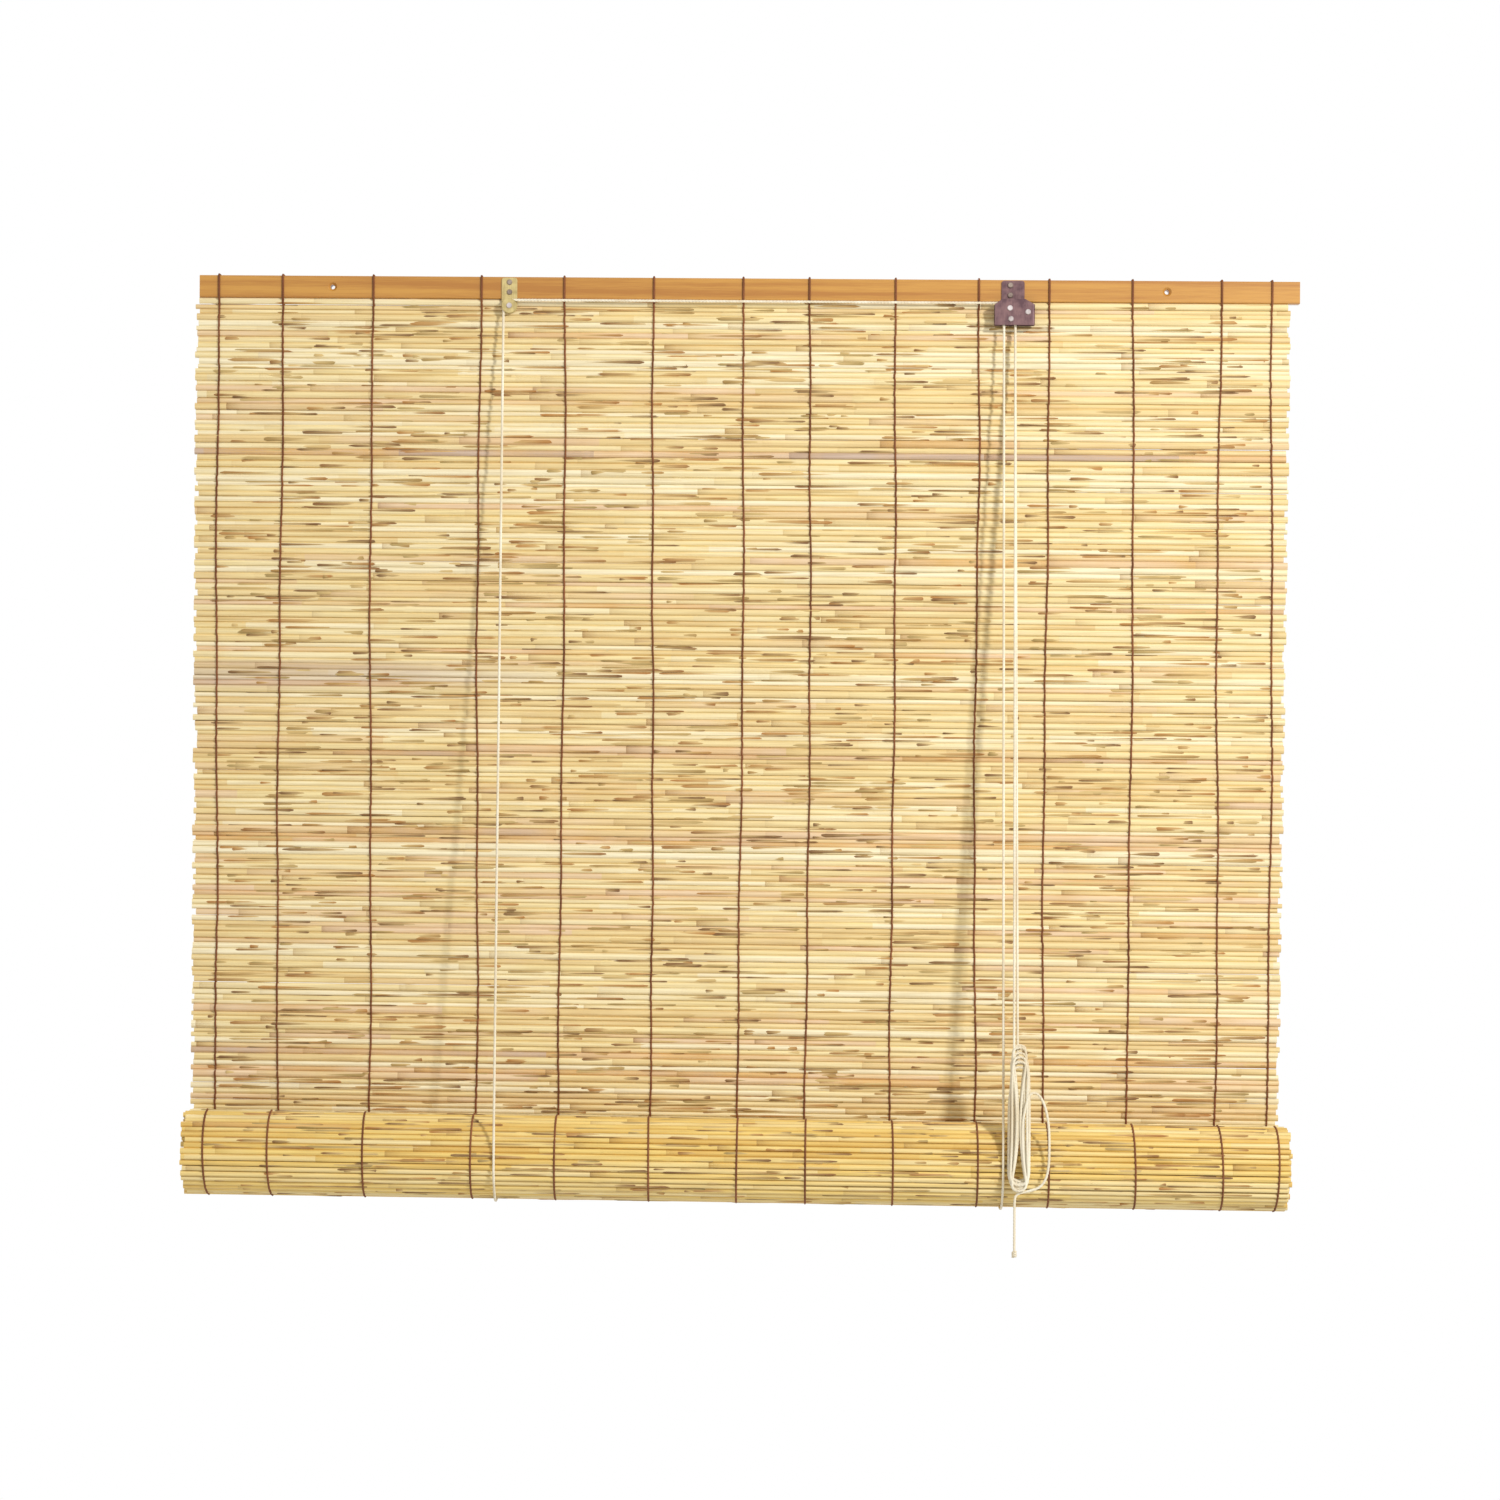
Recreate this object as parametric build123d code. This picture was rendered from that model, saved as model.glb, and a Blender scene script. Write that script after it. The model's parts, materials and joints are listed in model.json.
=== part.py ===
from build123d import *
import os
from math import ceil, cos, floor, pi, radians, sin, sqrt, tan

# Reed roller blind. A reed mat hangs from a wooden head batten and is partly rolled up from below.
# Two cord slings carry the roll. Both cords run over a pulley or a cord lock on the batten and come
# down together as the pull cords, which end in a hank.
# Frame: +X to the viewer's right, +Y into the wall, +Z up, all lengths in millimetres.
# The origin is on the back face of the batten, midway between the two wall-screw holes.

# Clearances shared by all pieces
TOUCH_GAP = 0.3
RUNNING_GAP = 0.08
FIXED_GAP = 0.05
CUT_OVERRUN = 2.0

# Head batten
BATTEN_LENGTH = 1200.0
BATTEN_HEIGHT = 24.0
BATTEN_DEPTH = 16.0
BATTEN_CHAMFER = 1.0
WALL_SCREW_SPACING = 910.0
WALL_SCREW_HOLE = 5.0
WALL_SCREW_SINK = 10.0

# Reed mat
MAT_INSET = 4.0
MAT_OFFSET = -9.0
MAT_STAND_OFF = 9.5
REED_DIAMETER = 6.5
REED_PITCH = 6.5
REED_VALLEY = 2.4
REED_HEIGHT_SHARES = (1.0, 0.86, 1.12, 0.94, 1.08)
REED_FLAT_SHARES = (0.27, 0.73)
GAP_COUNT = 96
GAP_HEIGHT = 1.5
GAP_LENGTH = 52.0
GAP_MARGIN = 70.0
GAP_ROW_SHARE = 0.6180
GAP_PLACE_SHARE = 0.7549
GAP_LENGTH_SHARE = 0.5698
GAP_SHORTEST_SHARE = 0.45

# Warp threads that tie the reeds together, as shares of half the mat's width
THREAD_WIDTH = 2.6
THREAD_THICKNESS = 0.8
THREAD_LIE = 0.1
THREAD_STEP_IN = 8.0
THREAD_SHARES = (
    -0.971, -0.856, -0.689, -0.493, -0.339, -0.174, -0.011,
    0.112, 0.267, 0.419, 0.546, 0.702, 0.861, 0.958,
)

# Rolled part of the mat
ROLL_RADIUS = 47.5
ROLL_INSET = 1.0
ROLL_DROP = 944.0
ROLL_TILT_DEGREES = 0.57
TURN_GAP = 0.5
RING_SIDES = 8
RING_END_SHARE = 0.85
SLAT_WIDTH = 22.0
SLAT_THICKNESS = 10.0
SLAT_INSET = 6.0

# Cords
CORD_DIAMETER = 3.0
CORD_SIDES = 8
LEFT_CORD_SHARE = -0.45
RIGHT_CORD_SHARE = 0.4645
SLING_REAR_RISE = 10.0
SLING_FRONT_RISE = 24.0
WRAP_LEG = 2.0
KNOT_DIAMETER = 6.4
KNOT_HEIGHT = 6.0
KNOT_DEPTH = 8.0

# Pulley and cord lock
SHEET = 1.2
SHEET_BEND = 1.2
WHEEL_DIAMETER = 16.0
WHEEL_PITCH_RADIUS = 6.25
WHEEL_FLANGE = 0.9
WHEEL_DROP = 7.9
WHEEL_SIDE_GAP = 0.4
LANE_PITCH = 3.4
CORD_LEAN_ROOM = 1.0
PIN_DIAMETER = 3.0
RIVET_HEAD_DIAMETER = 6.0
RIVET_HEAD_HEIGHT = 1.2
RIVET_TAIL_HEIGHT = 0.8
PULLEY_STRAP_WIDTH = 17.0
STRAP_TOP_MARGIN = 1.0
STRAP_CORNER = 3.0
STRAP_SCREW_SHARES = (0.25, -0.2)
SCREW_DIAMETER = 3.0
SCREW_LENGTH = 12.0
SCREW_HEAD_DIAMETER = 6.0
SCREW_HEAD_HEIGHT = 1.8
SCREW_HEAD_CHAMFER = 0.8
LOCK_LEFT_REACH = 16.5
LOCK_RIGHT_REACH = 27.2
LOCK_RISE = 9.9
LOCK_DROP = 18.3
LOCK_SHOULDER = 6.0
LOCK_STRAP_LEFT_REACH = 8.7
LOCK_STRAP_RIGHT_REACH = 16.4
LOCK_SCREW_OFFSET = 1.0
ANVIL_DIAMETER = 6.8
CAM_PIVOT_REACH = 13.4
CAM_PIVOT_DROP = 4.1
CAM_HUB_DIAMETER = 9.6
CAM_FACE_START = 1.5
CAM_FACE_HEIGHT = 8.5
CAM_TEETH = 5
CAM_TOOTH_DEPTH = 1.3

# Hank of pull cord that hangs in front of the roll
PULL_STRAIGHT = 24.0
PULL_SPREAD = 2.0
PULL_STAGGER = 1.2
PULL_BEND_SHARE = 0.45
HANK_TOP_DROP = 817.0
HANK_OFFSET = 4.0
HANK_LENGTH = 161.0
HANK_WIDTH = 27.0
HANK_THICKNESS = 12.0
HANK_CHAMFER = 3.0
HANK_OUTLINE_SHARES = (
    (-0.38, 0.0), (-0.05, 0.0), (0.27, -0.14), (0.46, -0.34), (0.5, -0.8), (0.3, -1.0),
    (-0.2, -1.0), (-0.46, -0.72), (-0.5, -0.3),
)
TAIL_OFFSET = -4.5
TAIL_LENGTH = 58.0
LOOP_ROUTE = (
    (5.0, -30.0), (15.0, -41.0), (23.5, -62.0), (30.0, -86.0),
    (32.0, -110.0), (29.5, -134.0), (19.0, -150.0), (3.0, -154.0),
)

# Places worked out from the sizes above
mat_width = BATTEN_LENGTH - 2 * MAT_INSET
mat_x = MAT_OFFSET
mat_top = -BATTEN_HEIGHT / 2
mat_y = -MAT_STAND_OFF
reed_radius = REED_DIAMETER / 2
valley_depth = (REED_DIAMETER - REED_VALLEY) / 2
cord_radius = CORD_DIAMETER / 2

winding_radius = ROLL_RADIUS - reed_radius
half_turn_step = (REED_DIAMETER + TURN_GAP) / 2
slat_reach = sqrt(SLAT_WIDTH ** 2 + SLAT_THICKNESS ** 2) / 2 + TOUCH_GAP
half_turns = 2 * floor((ROLL_RADIUS - REED_DIAMETER - slat_reach) / (2 * half_turn_step)) + 1
core_radius = ROLL_RADIUS - REED_DIAMETER - half_turn_step * (half_turns - 1)
roll_length = mat_width - 2 * ROLL_INSET
roll_y = mat_y - winding_radius
roll_frame = Pos(mat_x, roll_y, -ROLL_DROP) * Rot(0, ROLL_TILT_DEGREES, 0)

left_cord_x = LEFT_CORD_SHARE * mat_width / 2
right_cord_x = RIGHT_CORD_SHARE * mat_width / 2
pulley_x = left_cord_x + WHEEL_PITCH_RADIUS
lock_x = right_cord_x + WHEEL_PITCH_RADIUS
pull_x = lock_x + WHEEL_PITCH_RADIUS
wheel_z = mat_top - WHEEL_DROP
cross_z = wheel_z + WHEEL_PITCH_RADIUS
wrap_end_z = wheel_z - WRAP_LEG
rear_cord_y = mat_y + reed_radius + TOUCH_GAP + cord_radius
sling_radius = rear_cord_y - roll_y
front_cord_y = roll_y - sling_radius

groove_width = CORD_DIAMETER + 2 * TOUCH_GAP
pulley_wheel_width = groove_width + 2 * WHEEL_FLANGE
lock_wheel_width = pulley_wheel_width + LANE_PITCH
wheel_front = BATTEN_DEPTH + SHEET + WHEEL_SIDE_GAP
rear_lane_y = -(wheel_front + pulley_wheel_width / 2)
front_lane_y = rear_lane_y - LANE_PITCH
lock_inner_depth = lock_wheel_width + 2 * WHEEL_SIDE_GAP + CORD_LEAN_ROOM
lock_depth = lock_inner_depth + 2 * SHEET

hank_x = pull_x + HANK_OFFSET
hank_y = roll_y - ROLL_RADIUS - TOUCH_GAP - THREAD_THICKNESS - HANK_THICKNESS / 2
thread_places = [share * mat_width / 2 for share in THREAD_SHARES]


def roll_axis_z(x):
    """Height of the roll's tilted axis at a place along the blind."""
    return -ROLL_DROP - tan(radians(ROLL_TILT_DEGREES)) * (x - mat_x)


def spread(index, step_share):
    """Evenly scattered value from 0 to 1 for a place in a series."""
    return (index * step_share) % 1


def along_x(outline, start, length):
    """Prism of a closed (y, z) outline that starts at one x and runs along +X."""
    return extrude(Plane.YZ.offset(start) * make_face(Polyline(*outline, close=True)), amount=length)


def from_front(depth):
    """Plane that faces the viewer, a depth in front of the wall, with x and z as its own axes."""
    return Plane.XZ.offset(depth)


def rod_to_front(x, z, start, radius, length):
    """Round rod that runs towards the viewer from a depth in front of the wall."""
    return extrude(from_front(start) * Pos(x, z) * Circle(radius), amount=length)


def cord_tube(path, name):
    """Plain eight-sided cord along a path of straight runs and arcs, with its volume compared."""
    section = RegularPolygon(cord_radius, CORD_SIDES)
    tube = sweep(Plane(path @ 0, z_dir=path % 0) * section, path=path)
    share = tube.volume / (section.area * path.length)
    radii = [round(edge.radius, 1) for edge in path.edges().filter_by(GeomType.CIRCLE)]
    print(f"{name}: length {path.length:.1f}, volume share {share:.4f}, arc radii {radii}")
    return tube


def save(shape, node):
    """Write one piece under its own name."""
    export_step(shape, f"parts/{node}.step")


# Head batten with its fixing holes


def head_batten():
    """Planed batten with wall-screw holes, pilot holes and the two recessed cord holes."""
    bar = extrude(from_front(0) * Rectangle(BATTEN_LENGTH, BATTEN_HEIGHT), amount=BATTEN_DEPTH)
    bar = chamfer(bar.edges().filter_by(Axis.X), BATTEN_CHAMFER)
    cuts = []
    for side in (-1, 1):
        x = side * WALL_SCREW_SPACING / 2
        cuts.append(rod_to_front(x, 0, -CUT_OVERRUN, WALL_SCREW_HOLE / 2, BATTEN_DEPTH + 2 * CUT_OVERRUN))
        sink = Cone(WALL_SCREW_SINK / 2, 0, WALL_SCREW_SINK / 2, align=(Align.CENTER, Align.CENTER, Align.MIN))
        cuts.append(Pos(x, -BATTEN_DEPTH, 0) * Rot(-90, 0, 0) * sink)
    for x in (left_cord_x, right_cord_x):
        hole = Cylinder(cord_radius + TOUCH_GAP, BATTEN_HEIGHT + 2 * CUT_OVERRUN)
        cuts.append(Pos(x, rear_cord_y, 0) * hole)
        recess = Cylinder(KNOT_DIAMETER / 2 + TOUCH_GAP, 2 * KNOT_DEPTH)
        cuts.append(Pos(x, rear_cord_y, BATTEN_HEIGHT / 2) * recess)
    for x, z in strap_screw_places():
        depth = SCREW_LENGTH - SHEET + FIXED_GAP
        cuts.append(rod_to_front(x, z, BATTEN_DEPTH - depth, SCREW_DIAMETER / 2 + FIXED_GAP, depth))
    return bar - cuts


def strap_screw_places():
    """Screws that hold the pulley strap and the lock strap, as (x, z)."""
    heights = [share * BATTEN_HEIGHT for share in STRAP_SCREW_SHARES]
    return [(x, z) for x in (pulley_x, lock_x + LOCK_SCREW_OFFSET) for z in heights]


def strap_screws():
    """Round-headed wood screws through both straps."""
    screws = []
    for x, z in strap_screw_places():
        under_head = BATTEN_DEPTH + SHEET
        shank = rod_to_front(x, z, under_head - SCREW_LENGTH, SCREW_DIAMETER / 2, SCREW_LENGTH)
        head = rod_to_front(x, z, under_head, SCREW_HEAD_DIAMETER / 2, SCREW_HEAD_HEIGHT)
        head = chamfer(head.faces().sort_by(Axis.Y)[0].edges(), SCREW_HEAD_CHAMFER)
        screws.append(shank + head)
    return Compound(children=screws)


# Hanging part of the mat


def reed_rows():
    """Top height of each reed row from the batten down past the roll's lower end."""
    lowest = roll_axis_z(mat_x + mat_width / 2) - REED_PITCH
    count = ceil((mat_top - lowest) / REED_PITCH) + 1
    tops = [mat_top]
    for row in range(count):
        share = REED_HEIGHT_SHARES[row % len(REED_HEIGHT_SHARES)]
        tops.append(tops[-1] - share * REED_PITCH)
    return tops


def hanging_mat():
    """One wall of side-by-side reeds, three flats a side, with open gaps in the valleys."""
    tops = reed_rows()
    profile = []
    for top, bottom in zip(tops, tops[1:]):
        profile.append((reed_radius - valley_depth, top))
        for share in REED_FLAT_SHARES:
            profile.append((reed_radius, top + share * (bottom - top)))
    profile.append((reed_radius - valley_depth, tops[-1]))
    front = [(mat_y - out, z) for out, z in profile]
    back = [(mat_y + out, z) for out, z in reversed(profile)]
    wall = along_x(front + back, mat_x - mat_width / 2, mat_width)

    slots = []
    open_rows = len(tops) - 2 * ceil(GAP_MARGIN / 2 / REED_PITCH)
    for index in range(1, GAP_COUNT + 1):
        row = 1 + floor(spread(index, GAP_ROW_SHARE) * open_rows)
        x = mat_x + (spread(index, GAP_PLACE_SHARE) - 1 / 2) * (mat_width - 2 * GAP_MARGIN)
        length = GAP_LENGTH * (GAP_SHORTEST_SHARE + spread(index, GAP_LENGTH_SHARE))
        slots.append(Pos(x, mat_y, tops[row]) * Box(length, 2 * REED_DIAMETER, GAP_HEIGHT))

    below = 2 * ROLL_RADIUS
    trim = Box(2 * mat_width, below, below, align=(Align.CENTER, Align.CENTER, Align.MAX))
    return wall - slots - roll_frame * Pos(0, winding_radius, TOUCH_GAP) * trim


def warp_thread(x):
    """Thread looped over the batten, with one strand down the front and one down the back."""
    thick = THREAD_THICKNESS
    batten_low = -BATTEN_HEIGHT / 2
    step_low = batten_low - THREAD_STEP_IN
    front = mat_y - reed_radius - THREAD_LIE
    back = mat_y + reed_radius + THREAD_LIE
    upper_radius = ROLL_RADIUS - half_turn_step
    recess = thick + THREAD_LIE + TOUCH_GAP - TURN_GAP
    front_end = roll_axis_z(x) + sqrt(upper_radius ** 2 - (upper_radius - max(recess, 0)) ** 2) + REED_PITCH
    back_end = roll_axis_z(x) + TOUCH_GAP + THREAD_WIDTH * tan(radians(ROLL_TILT_DEGREES))
    outer = [
        (front - thick, front_end), (front - thick, step_low), (-BATTEN_DEPTH - thick, batten_low),
        (-BATTEN_DEPTH - thick, BATTEN_HEIGHT / 2 + thick), (thick, BATTEN_HEIGHT / 2 + thick),
        (thick, batten_low), (back + thick, step_low), (back + thick, back_end),
    ]
    inner = [
        (back, back_end), (back, step_low), (0, batten_low), (0, BATTEN_HEIGHT / 2),
        (-BATTEN_DEPTH, BATTEN_HEIGHT / 2), (-BATTEN_DEPTH, batten_low), (front, step_low), (front, front_end),
    ]
    return along_x(outer + inner, x - THREAD_WIDTH / 2, THREAD_WIDTH)


# Rolled part of the mat, drawn round its own axis


def half_turn_point(turn, radius, share):
    """Point on one half turn of the spiral, at a share of the way along it, as (y, z)."""
    centre = -half_turn_step * (turn % 2)
    angle = -pi * (turn % 2 + share)
    return (centre + radius * cos(angle), radius * sin(angle))


def ridge_points(turn, radius):
    """Outer wall of one half turn with a ridge for each reed."""
    count = round(pi * radius / REED_PITCH)
    points = []
    for reed in range(count):
        points.append(half_turn_point(turn, radius - valley_depth, reed / count))
        for share in REED_FLAT_SHARES:
            points.append(half_turn_point(turn, radius, (reed + share) / count))
    return points


def rolled_mat():
    """The wound mat as one spiral sheet whose outermost turn shows its reeds."""
    outer = [ROLL_RADIUS - half_turn_step * turn for turn in range(half_turns)]
    plane = Plane.YZ.offset(-roll_length / 2)
    ridges = ridge_points(0, outer[0]) + ridge_points(1, outer[1])
    ridges.append(half_turn_point(1, outer[1] - valley_depth, 1))
    ridges.append(half_turn_point(2, outer[2], 0))
    edges = list(Polyline(*ridges).edges())
    for turn in range(2, half_turns):
        edges += ThreePointArc(*(half_turn_point(turn, outer[turn], share) for share in (0, 1 / 2, 1))).edges()
    inner = [radius - REED_DIAMETER for radius in outer]
    last = half_turns - 1
    edges += Line(half_turn_point(last, outer[last], 1), half_turn_point(last, inner[last], 1)).edges()
    for turn in reversed(range(half_turns)):
        edges += ThreePointArc(*(half_turn_point(turn, inner[turn], share) for share in (1, 1 / 2, 0))).edges()
    edges += Line(half_turn_point(0, inner[0], 0), ridges[0]).edges()
    return roll_frame * extrude(plane * make_face(edges), amount=roll_length)


def bottom_batten():
    """Flat slat that weights the lower end of the mat, lying in the core of the roll."""
    seat = sqrt((core_radius - TOUCH_GAP) ** 2 - (SLAT_WIDTH / 2) ** 2)
    slat = Box(roll_length - 2 * SLAT_INSET, SLAT_WIDTH, SLAT_THICKNESS)
    slat = chamfer(slat.edges().filter_by(Axis.X), BATTEN_CHAMFER)
    return roll_frame * Pos(0, 0, SLAT_THICKNESS / 2 - seat) * slat


def roll_thread(x):
    """Thread that carries on round the outermost turn of the roll."""
    corner = cos(pi / RING_SIDES / 2)
    inner, outer = [], []
    for turn, end in ((0, 1), (1, RING_END_SHARE)):
        radius = (ROLL_RADIUS - half_turn_step * turn + THREAD_LIE) / corner
        for side in range(RING_SIDES + turn):
            share = end * side / RING_SIDES
            inner.append(half_turn_point(turn, radius, share))
            outer.append(half_turn_point(turn, radius + THREAD_THICKNESS, share))
    return roll_frame * along_x(inner + outer[::-1], x - mat_x - THREAD_WIDTH / 2, THREAD_WIDTH)


# Pulley and cord lock


def grooved_wheel(x, width):
    """Turned wheel with two flanges and a straight groove, running on its pin."""
    wheel = rod_to_front(x, wheel_z, wheel_front, WHEEL_DIAMETER / 2, width)
    floor_radius = WHEEL_PITCH_RADIUS - cord_radius - TOUCH_GAP
    groove_start = wheel_front + WHEEL_FLANGE
    groove = from_front(groove_start) * Pos(x, wheel_z) * (Circle(WHEEL_DIAMETER) - Circle(floor_radius))
    bore = rod_to_front(
        x, wheel_z, wheel_front - CUT_OVERRUN, PIN_DIAMETER / 2 + RUNNING_GAP, width + 2 * CUT_OVERRUN
    )
    return wheel - extrude(groove, amount=width - 2 * WHEEL_FLANGE) - bore


def rivet(x, z, grip, shoulder_diameter=0.0, shoulder_length=0.0):
    """Rivet with a tail behind the back plate, an optional shoulder and a head in front."""
    tail = rod_to_front(x, z, BATTEN_DEPTH - RIVET_TAIL_HEIGHT, RIVET_HEAD_DIAMETER / 2, RIVET_TAIL_HEIGHT)
    shank = rod_to_front(x, z, BATTEN_DEPTH, PIN_DIAMETER / 2, grip)
    head = rod_to_front(x, z, BATTEN_DEPTH + grip, RIVET_HEAD_DIAMETER / 2, RIVET_HEAD_HEIGHT)
    head = chamfer(head.faces().sort_by(Axis.Y)[0].edges(), RIVET_HEAD_HEIGHT / 2)
    body = tail + shank + head
    if shoulder_diameter > 0:
        body += rod_to_front(x, z, BATTEN_DEPTH + SHEET, shoulder_diameter / 2, shoulder_length)
    return body


def pulley_bracket():
    """Flat strap on the batten with a rounded lower end that carries the pulley's pin."""
    top = BATTEN_HEIGHT / 2 - STRAP_TOP_MARGIN
    height = top - wheel_z
    plate = from_front(BATTEN_DEPTH) * Pos(pulley_x, wheel_z + height / 2) * Rectangle(PULLEY_STRAP_WIDTH, height)
    plate += from_front(BATTEN_DEPTH) * Pos(pulley_x, wheel_z) * Circle(PULLEY_STRAP_WIDTH / 2)
    strap = extrude(plate, amount=SHEET)
    upper_corners = strap.edges().filter_by(Axis.Y).group_by(Axis.Z)[-1]
    strap = fillet(upper_corners, STRAP_CORNER)
    return strap - sheet_holes([(pulley_x, wheel_z)], strap_screw_places())


def sheet_holes(pins, screws):
    """Holes through the sheet for pins and screws."""
    through = lock_depth + 2 * CUT_OVERRUN
    start = BATTEN_DEPTH - CUT_OVERRUN
    holes = [rod_to_front(x, z, start, PIN_DIAMETER / 2 + FIXED_GAP, through) for x, z in pins]
    short = SHEET + 2 * CUT_OVERRUN
    return holes + [rod_to_front(x, z, start, SCREW_DIAMETER / 2 + FIXED_GAP, short) for x, z in screws]


anvil_x = pull_x - cord_radius - TOUCH_GAP - ANVIL_DIAMETER / 2
anvil_z = wheel_z - WHEEL_DIAMETER / 2 - ANVIL_DIAMETER / 2 - TOUCH_GAP
cam_x = pull_x + CAM_PIVOT_REACH
cam_z = wheel_z - CAM_PIVOT_DROP


def lock_housing():
    """Channel folded from sheet, open to the left, top and bottom, with a strap up the batten."""
    left = lock_x - LOCK_LEFT_REACH
    right = lock_x + LOCK_RIGHT_REACH
    top = wheel_z + LOCK_RISE
    bottom = wheel_z - LOCK_DROP
    low_corner = (Align.MIN, Align.MAX)
    outside = Pos(left, -BATTEN_DEPTH) * Rectangle(right - left, lock_depth, align=low_corner)
    hollow = Pos(left - CUT_OVERRUN, -BATTEN_DEPTH - SHEET) * Rectangle(
        right - left - SHEET + CUT_OVERRUN, lock_inner_depth, align=low_corner
    )
    section = outside - hollow
    section = fillet(section.vertices().group_by(Axis.X)[1], SHEET_BEND)
    section = fillet(section.vertices().group_by(Axis.X)[-1], SHEET_BEND + SHEET)
    channel = Pos(0, 0, bottom) * extrude(section, amount=top - bottom)

    strap_left = lock_x - LOCK_STRAP_LEFT_REACH
    strap_right = lock_x + LOCK_STRAP_RIGHT_REACH
    outline = Polyline(
        (left, bottom), (right, bottom), (right, top - LOCK_SHOULDER), (strap_right, top),
        (strap_left, top), (left, top - LOCK_SHOULDER), close=True,
    )
    body = channel & extrude(from_front(BATTEN_DEPTH) * make_face(outline), amount=lock_depth)

    strap_top = BATTEN_HEIGHT / 2 - STRAP_TOP_MARGIN
    strap_low = top - LOCK_SHOULDER
    middle = Pos((strap_left + strap_right) / 2, (strap_low + strap_top) / 2)
    strap = from_front(BATTEN_DEPTH) * middle * Rectangle(strap_right - strap_left, strap_top - strap_low)
    strap = extrude(strap, amount=SHEET)
    strap = fillet(strap.edges().filter_by(Axis.Y).group_by(Axis.Z)[-1], STRAP_CORNER)
    pins = [(lock_x, wheel_z), (anvil_x, anvil_z), (cam_x, cam_z)]
    return body + strap - sheet_holes(pins, strap_screw_places())


def lock_cam():
    """Cam with a straight toothed face that bites the pull cords against the anvil."""
    face = CAM_PIVOT_REACH - cord_radius - TOUCH_GAP
    pitch = CAM_FACE_HEIGHT / CAM_TEETH
    hub = CAM_HUB_DIAMETER / 2
    outline = [(0, hub)]
    for tooth in range(CAM_TEETH):
        tip = -CAM_FACE_START - tooth * pitch
        outline += [(-face, tip), (CAM_TOOTH_DEPTH - face, tip - pitch)]
    outline.append((0, -hub))
    profile = make_face(Polyline(*outline, close=True)) + Circle(hub)
    profile -= Circle(PIN_DIAMETER / 2 + RUNNING_GAP)
    return extrude(from_front(wheel_front) * Pos(cam_x, cam_z) * profile, amount=lock_wheel_width)


# Cords


def straight(*points):
    """Wire through points along straight runs."""
    return Wire([edge for a, b in zip(points, points[1:]) for edge in Line(a, b).edges()])


def rear_run(x):
    """Taut cord behind the mat, from its knot in the batten down to the sling."""
    low = roll_axis_z(x) + SLING_REAR_RISE + TOUCH_GAP
    return straight((x, rear_cord_y, BATTEN_HEIGHT / 2 - KNOT_DEPTH), (x, rear_cord_y, low))


def front_run(x, lane_y):
    """Taut cord in front of the mat, from the sling up to its wheel."""
    low = roll_axis_z(x) + SLING_FRONT_RISE + TOUCH_GAP
    return straight((x, front_cord_y, low), (x, lane_y, wrap_end_z - TOUCH_GAP))


def sling(x):
    """Cord that passes under the roll and rises a little way at the back and the front."""
    z = roll_axis_z(x)
    back = Line((x, rear_cord_y, z + SLING_REAR_RISE), (x, rear_cord_y, z))
    under = ThreePointArc((x, rear_cord_y, z), (x, roll_y, z - sling_radius), (x, front_cord_y, z))
    front = Line((x, front_cord_y, z), (x, front_cord_y, z + SLING_FRONT_RISE))
    return Wire([*back.edges(), *under.edges(), *front.edges()])


def wheel_arc(x, y, start_degrees, turn_degrees):
    """Arc of a cord round a wheel, drawn from above the viewer's right towards the left."""
    points = []
    for share in (0, 1 / 2, 1):
        angle = radians(start_degrees + share * turn_degrees)
        points.append((x + WHEEL_PITCH_RADIUS * cos(angle), y, wheel_z + WHEEL_PITCH_RADIUS * sin(angle)))
    return ThreePointArc(*points)


def cross_run():
    """Left cord over the pulley, across the blind and over the lock's wheel."""
    y = rear_lane_y
    up = Line((left_cord_x, y, wrap_end_z), (left_cord_x, y, wheel_z))
    across = Line((pulley_x, y, cross_z), (lock_x, y, cross_z))
    down = Line((pull_x, y, wheel_z), (pull_x, y, wrap_end_z))
    pieces = (up, wheel_arc(pulley_x, y, 180, -90), across, wheel_arc(lock_x, y, 90, -90), down)
    return Wire([edge for piece in pieces for edge in piece.edges()])


def right_wrap():
    """Right cord over the lock's wheel."""
    y = front_lane_y
    up = Line((right_cord_x, y, wrap_end_z), (right_cord_x, y, wheel_z))
    down = Line((pull_x, y, wheel_z), (pull_x, y, wrap_end_z))
    return Wire([*up.edges(), *wheel_arc(lock_x, y, 180, -180).edges(), *down.edges()])


def pull_run(lane_y, side):
    """Pull cord, straight down through the lock and then out to the top of the hank."""
    bend = (pull_x, lane_y, wrap_end_z - PULL_STRAIGHT)
    end = (pull_x + side * PULL_SPREAD, hank_y + side * PULL_STAGGER, TOUCH_GAP - HANK_TOP_DROP)
    turn = (Vector(0, 0, -1)).get_angle(Vector(*end) - Vector(*bend))
    radius = PULL_BEND_SHARE * PULL_STRAIGHT / tan(radians(turn / 2))
    return FilletPolyline((pull_x, lane_y, wrap_end_z), bend, end, radius=radius)


def knot(x, y, z):
    """Plain barrel of a stopper knot that stands on a height."""
    barrel = Cylinder(KNOT_DIAMETER / 2, KNOT_HEIGHT, align=(Align.CENTER, Align.CENTER, Align.MIN))
    return Pos(x, y, z) * barrel


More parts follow.
